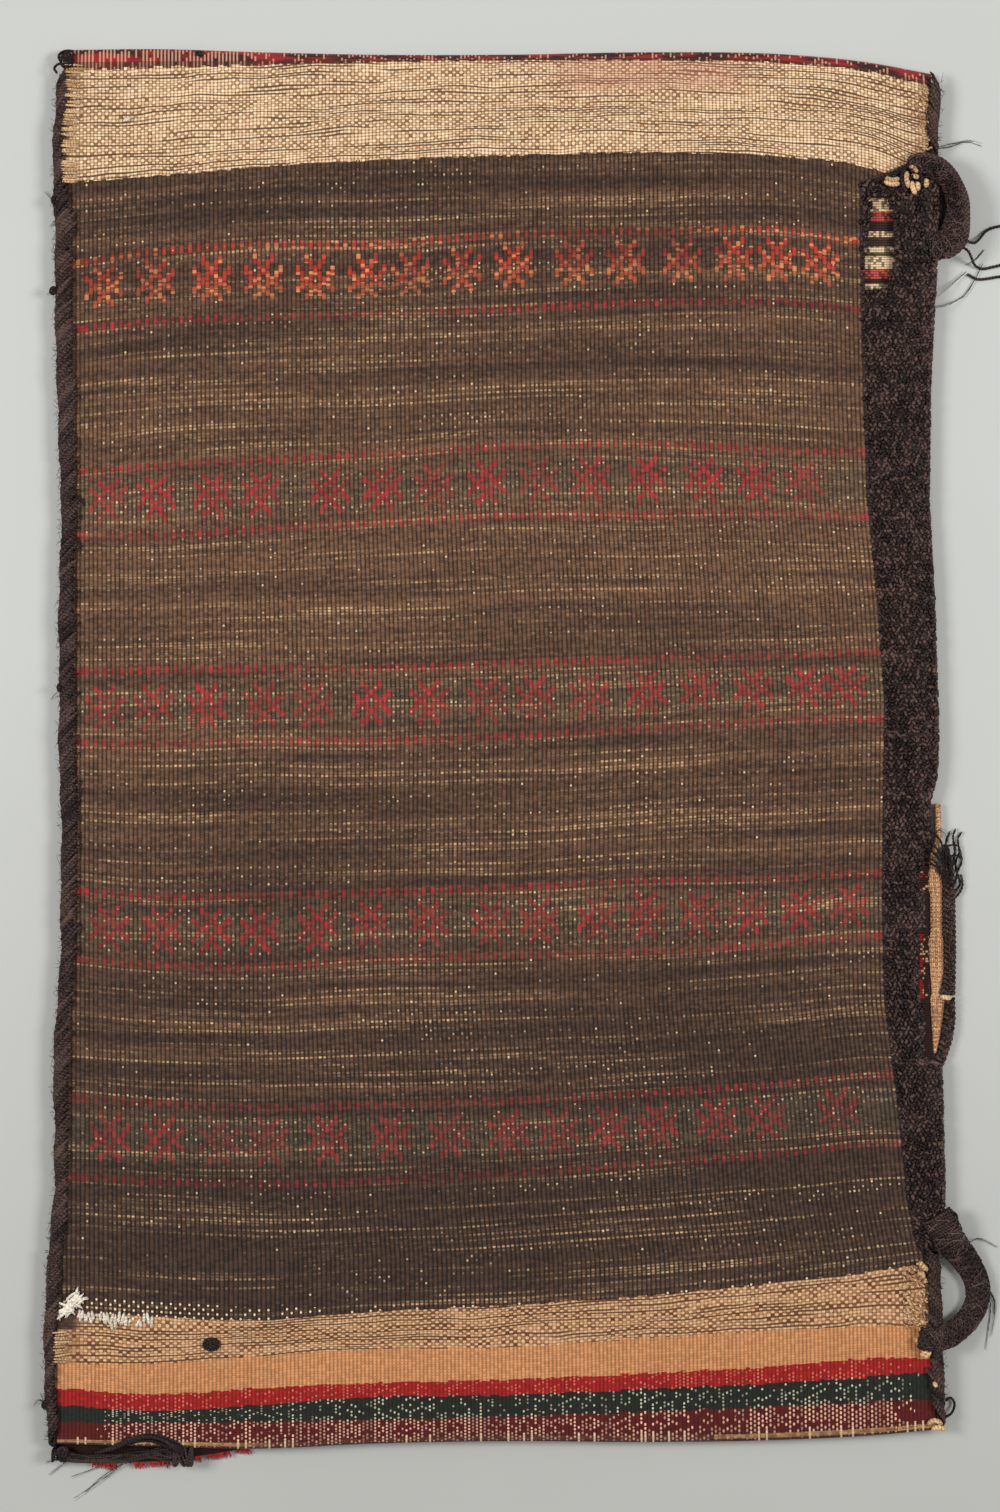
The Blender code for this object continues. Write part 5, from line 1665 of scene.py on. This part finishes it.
def make_pale_yarns():
    """Mending stitches, and the short turns of cream weft at the ends of both cream bands."""
    bundle = Bundle()
    for knots in CREAM_STITCHES:
        bundle.tubes(smooth_route(knots, 7), 1.6 * rounded(7, 0.5), 6, shade=0.4 + 0.5 * chance.random())
    arc = np.linspace(-1, 1, 5)

    # Turns of weft at the left ends of both bands, pulled over the dark overcast
    for low, high in ((-376.0, -356.0), (355.0, 429.0)):
        rows = np.arange(low, high, 1.45)
        rows = rows[chance.random(len(rows)) > 0.12]
        rows = rows + chance.normal(0, 0.3, len(rows))
        start = straight(LEFT_SIDE, rows) + 4.8 + chance.normal(0, 0.8, len(rows))
        share = (arc + 1) / 2
        x = start[:, None] + chance.uniform(10, 14, (len(rows), 1)) * share
        y = rows[:, None] + chance.normal(0, 0.7, (len(rows), 1)) * share
        routes = over_cloth(x, y, 2.9 - 2.6 * ease(share, 0.1, 0.9))
        bundle.tubes(routes, 0.72 * rounded(5), 5, shade=0.2 + 0.7 * chance.random(len(rows)))

    # Bulging turns at the right ends of both bands, drawn in by the edging
    for low, high, near, far, count in (
        (-355.0, -317.0, 239.0, 254.5, 130),
        (374.0, 416.0, 248.0, 256.5, 60),
    ):
        x = chance.uniform(near, far, count)
        y = chance.uniform(low, high, count) + 0.25 * (x - near)
        reach = chance.uniform(0.9, 1.9, count)
        slant = chance.normal(-0.35, 0.35, count)
        route_x = x[:, None] + (reach * np.cos(slant))[:, None] * arc
        route_y = y[:, None] + (reach * np.sin(slant))[:, None] * arc
        routes = over_cloth(route_x, route_y, 0.1 + 0.8 * (1 - arc**2))
        bundle.tubes(routes, 0.68 * rounded(5), 5, shade=0.15 + 0.7 * chance.random(count))
    return bundle.make("pale_yarns", cream_wool)


def make_bare_warps():
    """White warps, bare of weft: long upright dashes, one to a rib, and a tuft of them by the overcast."""
    bundle = Bundle()
    arc = np.linspace(-1, 1, 6)
    x = np.arange(*WARP_SPAN, WARP_PITCH)
    x = np.concatenate([x, x[: len(x) * 2 // 3]])
    x = x + chance.normal(0, 0.25, len(x))
    share = (x - WARP_SPAN[0]) / (WARP_SPAN[1] - WARP_SPAN[0])
    y = -346.0 - 4.0 * share + chance.normal(0, 1.4, len(x))
    reach = chance.uniform(1.6, 4.6, len(x)) * np.abs(np.cos(6.5 * share)) ** 0.4
    sway = chance.normal(0, 0.7, len(x))
    route_x = x[:, None] + sway[:, None] * arc
    route_y = y[:, None] + reach[:, None] * arc
    routes = over_cloth(route_x, route_y, 0.1 + 0.9 * (1 - arc**2))
    bundle.tubes(routes, 0.95 * rounded(6, 0.4), 5, shade=0.4 + 0.5 * chance.random(len(x)))

    # The tuft: slack warps that sweep up from the wedge to the overcast, and a fleck higher up the cloth
    count = 44
    sweep = chance.uniform(0, 1, count)
    x = -281.0 + 7.5 * sweep + chance.normal(0, 1.6, count)
    y = -345.0 + 9.0 * sweep + chance.normal(0, 1.5, count)
    angle = 0.75 + chance.normal(0, 0.45, count)
    reach = chance.uniform(3.0, 6.5, count)
    bend = chance.normal(-1.2, 1.2, count)
    x = np.append(x, [-242.6, -242.0, -241.4])
    y = np.append(y, [395.2, 395.8, 395.4])
    angle = np.append(angle, [0.6, 0.9, 0.7])
    reach = np.append(reach, [2.2, 2.0, 1.8])
    bend = np.append(bend, [0, 0, 0])
    along_x = (reach * np.cos(angle))[:, None] * arc - (bend * np.sin(angle))[:, None] * arc**2
    along_y = (reach * np.sin(angle))[:, None] * arc + (bend * np.cos(angle))[:, None] * arc**2
    lift = 1.0 + 2.2 * chance.random((len(x), 1)) * (1 - arc**2)
    routes = over_cloth(x[:, None] + along_x, y[:, None] + along_y, lift)
    bundle.tubes(routes, 0.85 * rounded(6, 0.3), 5, shade=0.6 + 0.4 * chance.random(len(x)))
    return bundle.make("bare_warps", white_wool)


for piece in (make_pale_yarns(), make_bare_warps()):
    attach(piece, "root")

# Dark darning in the overcast's own wool: heaps of thread in the lower cream band, in the corners and along
# the left side, kinked ends at the corners and the lower loop's root, and cords sewn along the cream's
# edge at the upper loop.

HEAP_RINGS = 5
HEAP_STATIONS = 18
KINK_STATIONS = 20
# Heaps: the place on the cloth, the width, the height up the cloth and the lift
HEAPS = (
    ((-189.5, -363.2), 8.0, 6.0, 0.6),
    ((-279.6, 432.4), 6.2, 7.6, 1.6),
    ((-282.5, -430.8), 5.5, 5.0, 1.0),
    ((-198.2, 437.2), 2.6, 1.6, 0.8),
    ((-292.4, -401), 3.0, 3.4, 1.0),
    ((-287.4, 345.5), 2.6, 3.6, 1.2),
    ((-288.1, 289), 2.2, 3.6, 1.0),
    ((-283.7, 42.9), 2.2, 3.6, 1.0),
)
# Kinked ends and cords: places across, along and up
KINKS = (
    (
        (263.7, -283.2, 9.5),
        (269.3, -282, 9.8),
        (272.4, -284.5, 9.4),
        (272.4, -290.7, 8.6),
        (273.7, -296.9, 8),
    ),
    ((264.4, -282, 9), (269.9, -283.2, 10.4), (270.6, -288.2, 9.6), (268.7, -294.4, 9.4)),
    ((265.6, -409.7, 8), (269.9, -407.2, 5), (271.8, -402.3, 2.6), (269.3, -398.5, 2.6), (265.6, -399.8, 6)),
    ((-283.5, 431, 9), (-284.8, 435, 8), (-282, 438, 7.4), (-277, 438.2, 8), (-274.5, 435, 9)),
    ((258, 374.5, 11), (249, 371.4, 12.2), (240, 366.4, 12.6), (230, 361.2, 12.8), (221, 357.0, 12.6)),
    ((257, 372.6, 11), (247, 368.8, 12.8), (238, 363.8, 13.2), (229, 359.8, 13.0), (220, 356.0, 12.4)),
    ((240.0, 366.0, 13), (237.9, 361.0, 13.6), (238.3, 355.0, 13.6), (240.5, 349.5, 12.8)),
    ((246.0, 361.5, 13.4), (243.0, 358.3, 14.2), (240.0, 357.2, 13.4)),
    ((248.5, 364.0, 13), (250.3, 358.0, 13.8), (249.4, 352.0, 13.4)),
    ((-285.5, 424, 9), (-287.5, 427.5, 8), (-284, 430, 9.6), (-279, 428, 9.8), (-278.5, 424, 9.6)),
)


def make_darns():
    """Threads wound in small heaps, circles of falling size, each a little off the last, and kinked ends."""
    bundle = Bundle()
    for (x, y), wide, tall, lift in HEAPS:
        for ring in range(HEAP_RINGS):
            turn = np.linspace(0, 2 * np.pi * 1.15, HEAP_STATIONS)
            size = 1 - 0.21 * ring
            swirl = turn + chance.uniform(0, 6)
            route_x = x + wide * 0.62 * size * np.cos(swirl) + chance.normal(0, 0.3)
            route_y = y + tall * 0.62 * size * np.sin(swirl) + chance.normal(0, 0.3)
            routes = over_cloth(route_x, route_y, lift + 0.4 + 0.45 * ring)
            bundle.tubes(routes, 0.8 * rounded(HEAP_STATIONS), 5, shade=0.3 * chance.random())
    for knots in KINKS:
        bundle.tubes(smooth_route(knots, KINK_STATIONS), 0.85 * rounded(KINK_STATIONS), 5, shade=0.12)
    return bundle.make("dark_darns", dark_wool)


darns = make_darns()
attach(darns, "root")
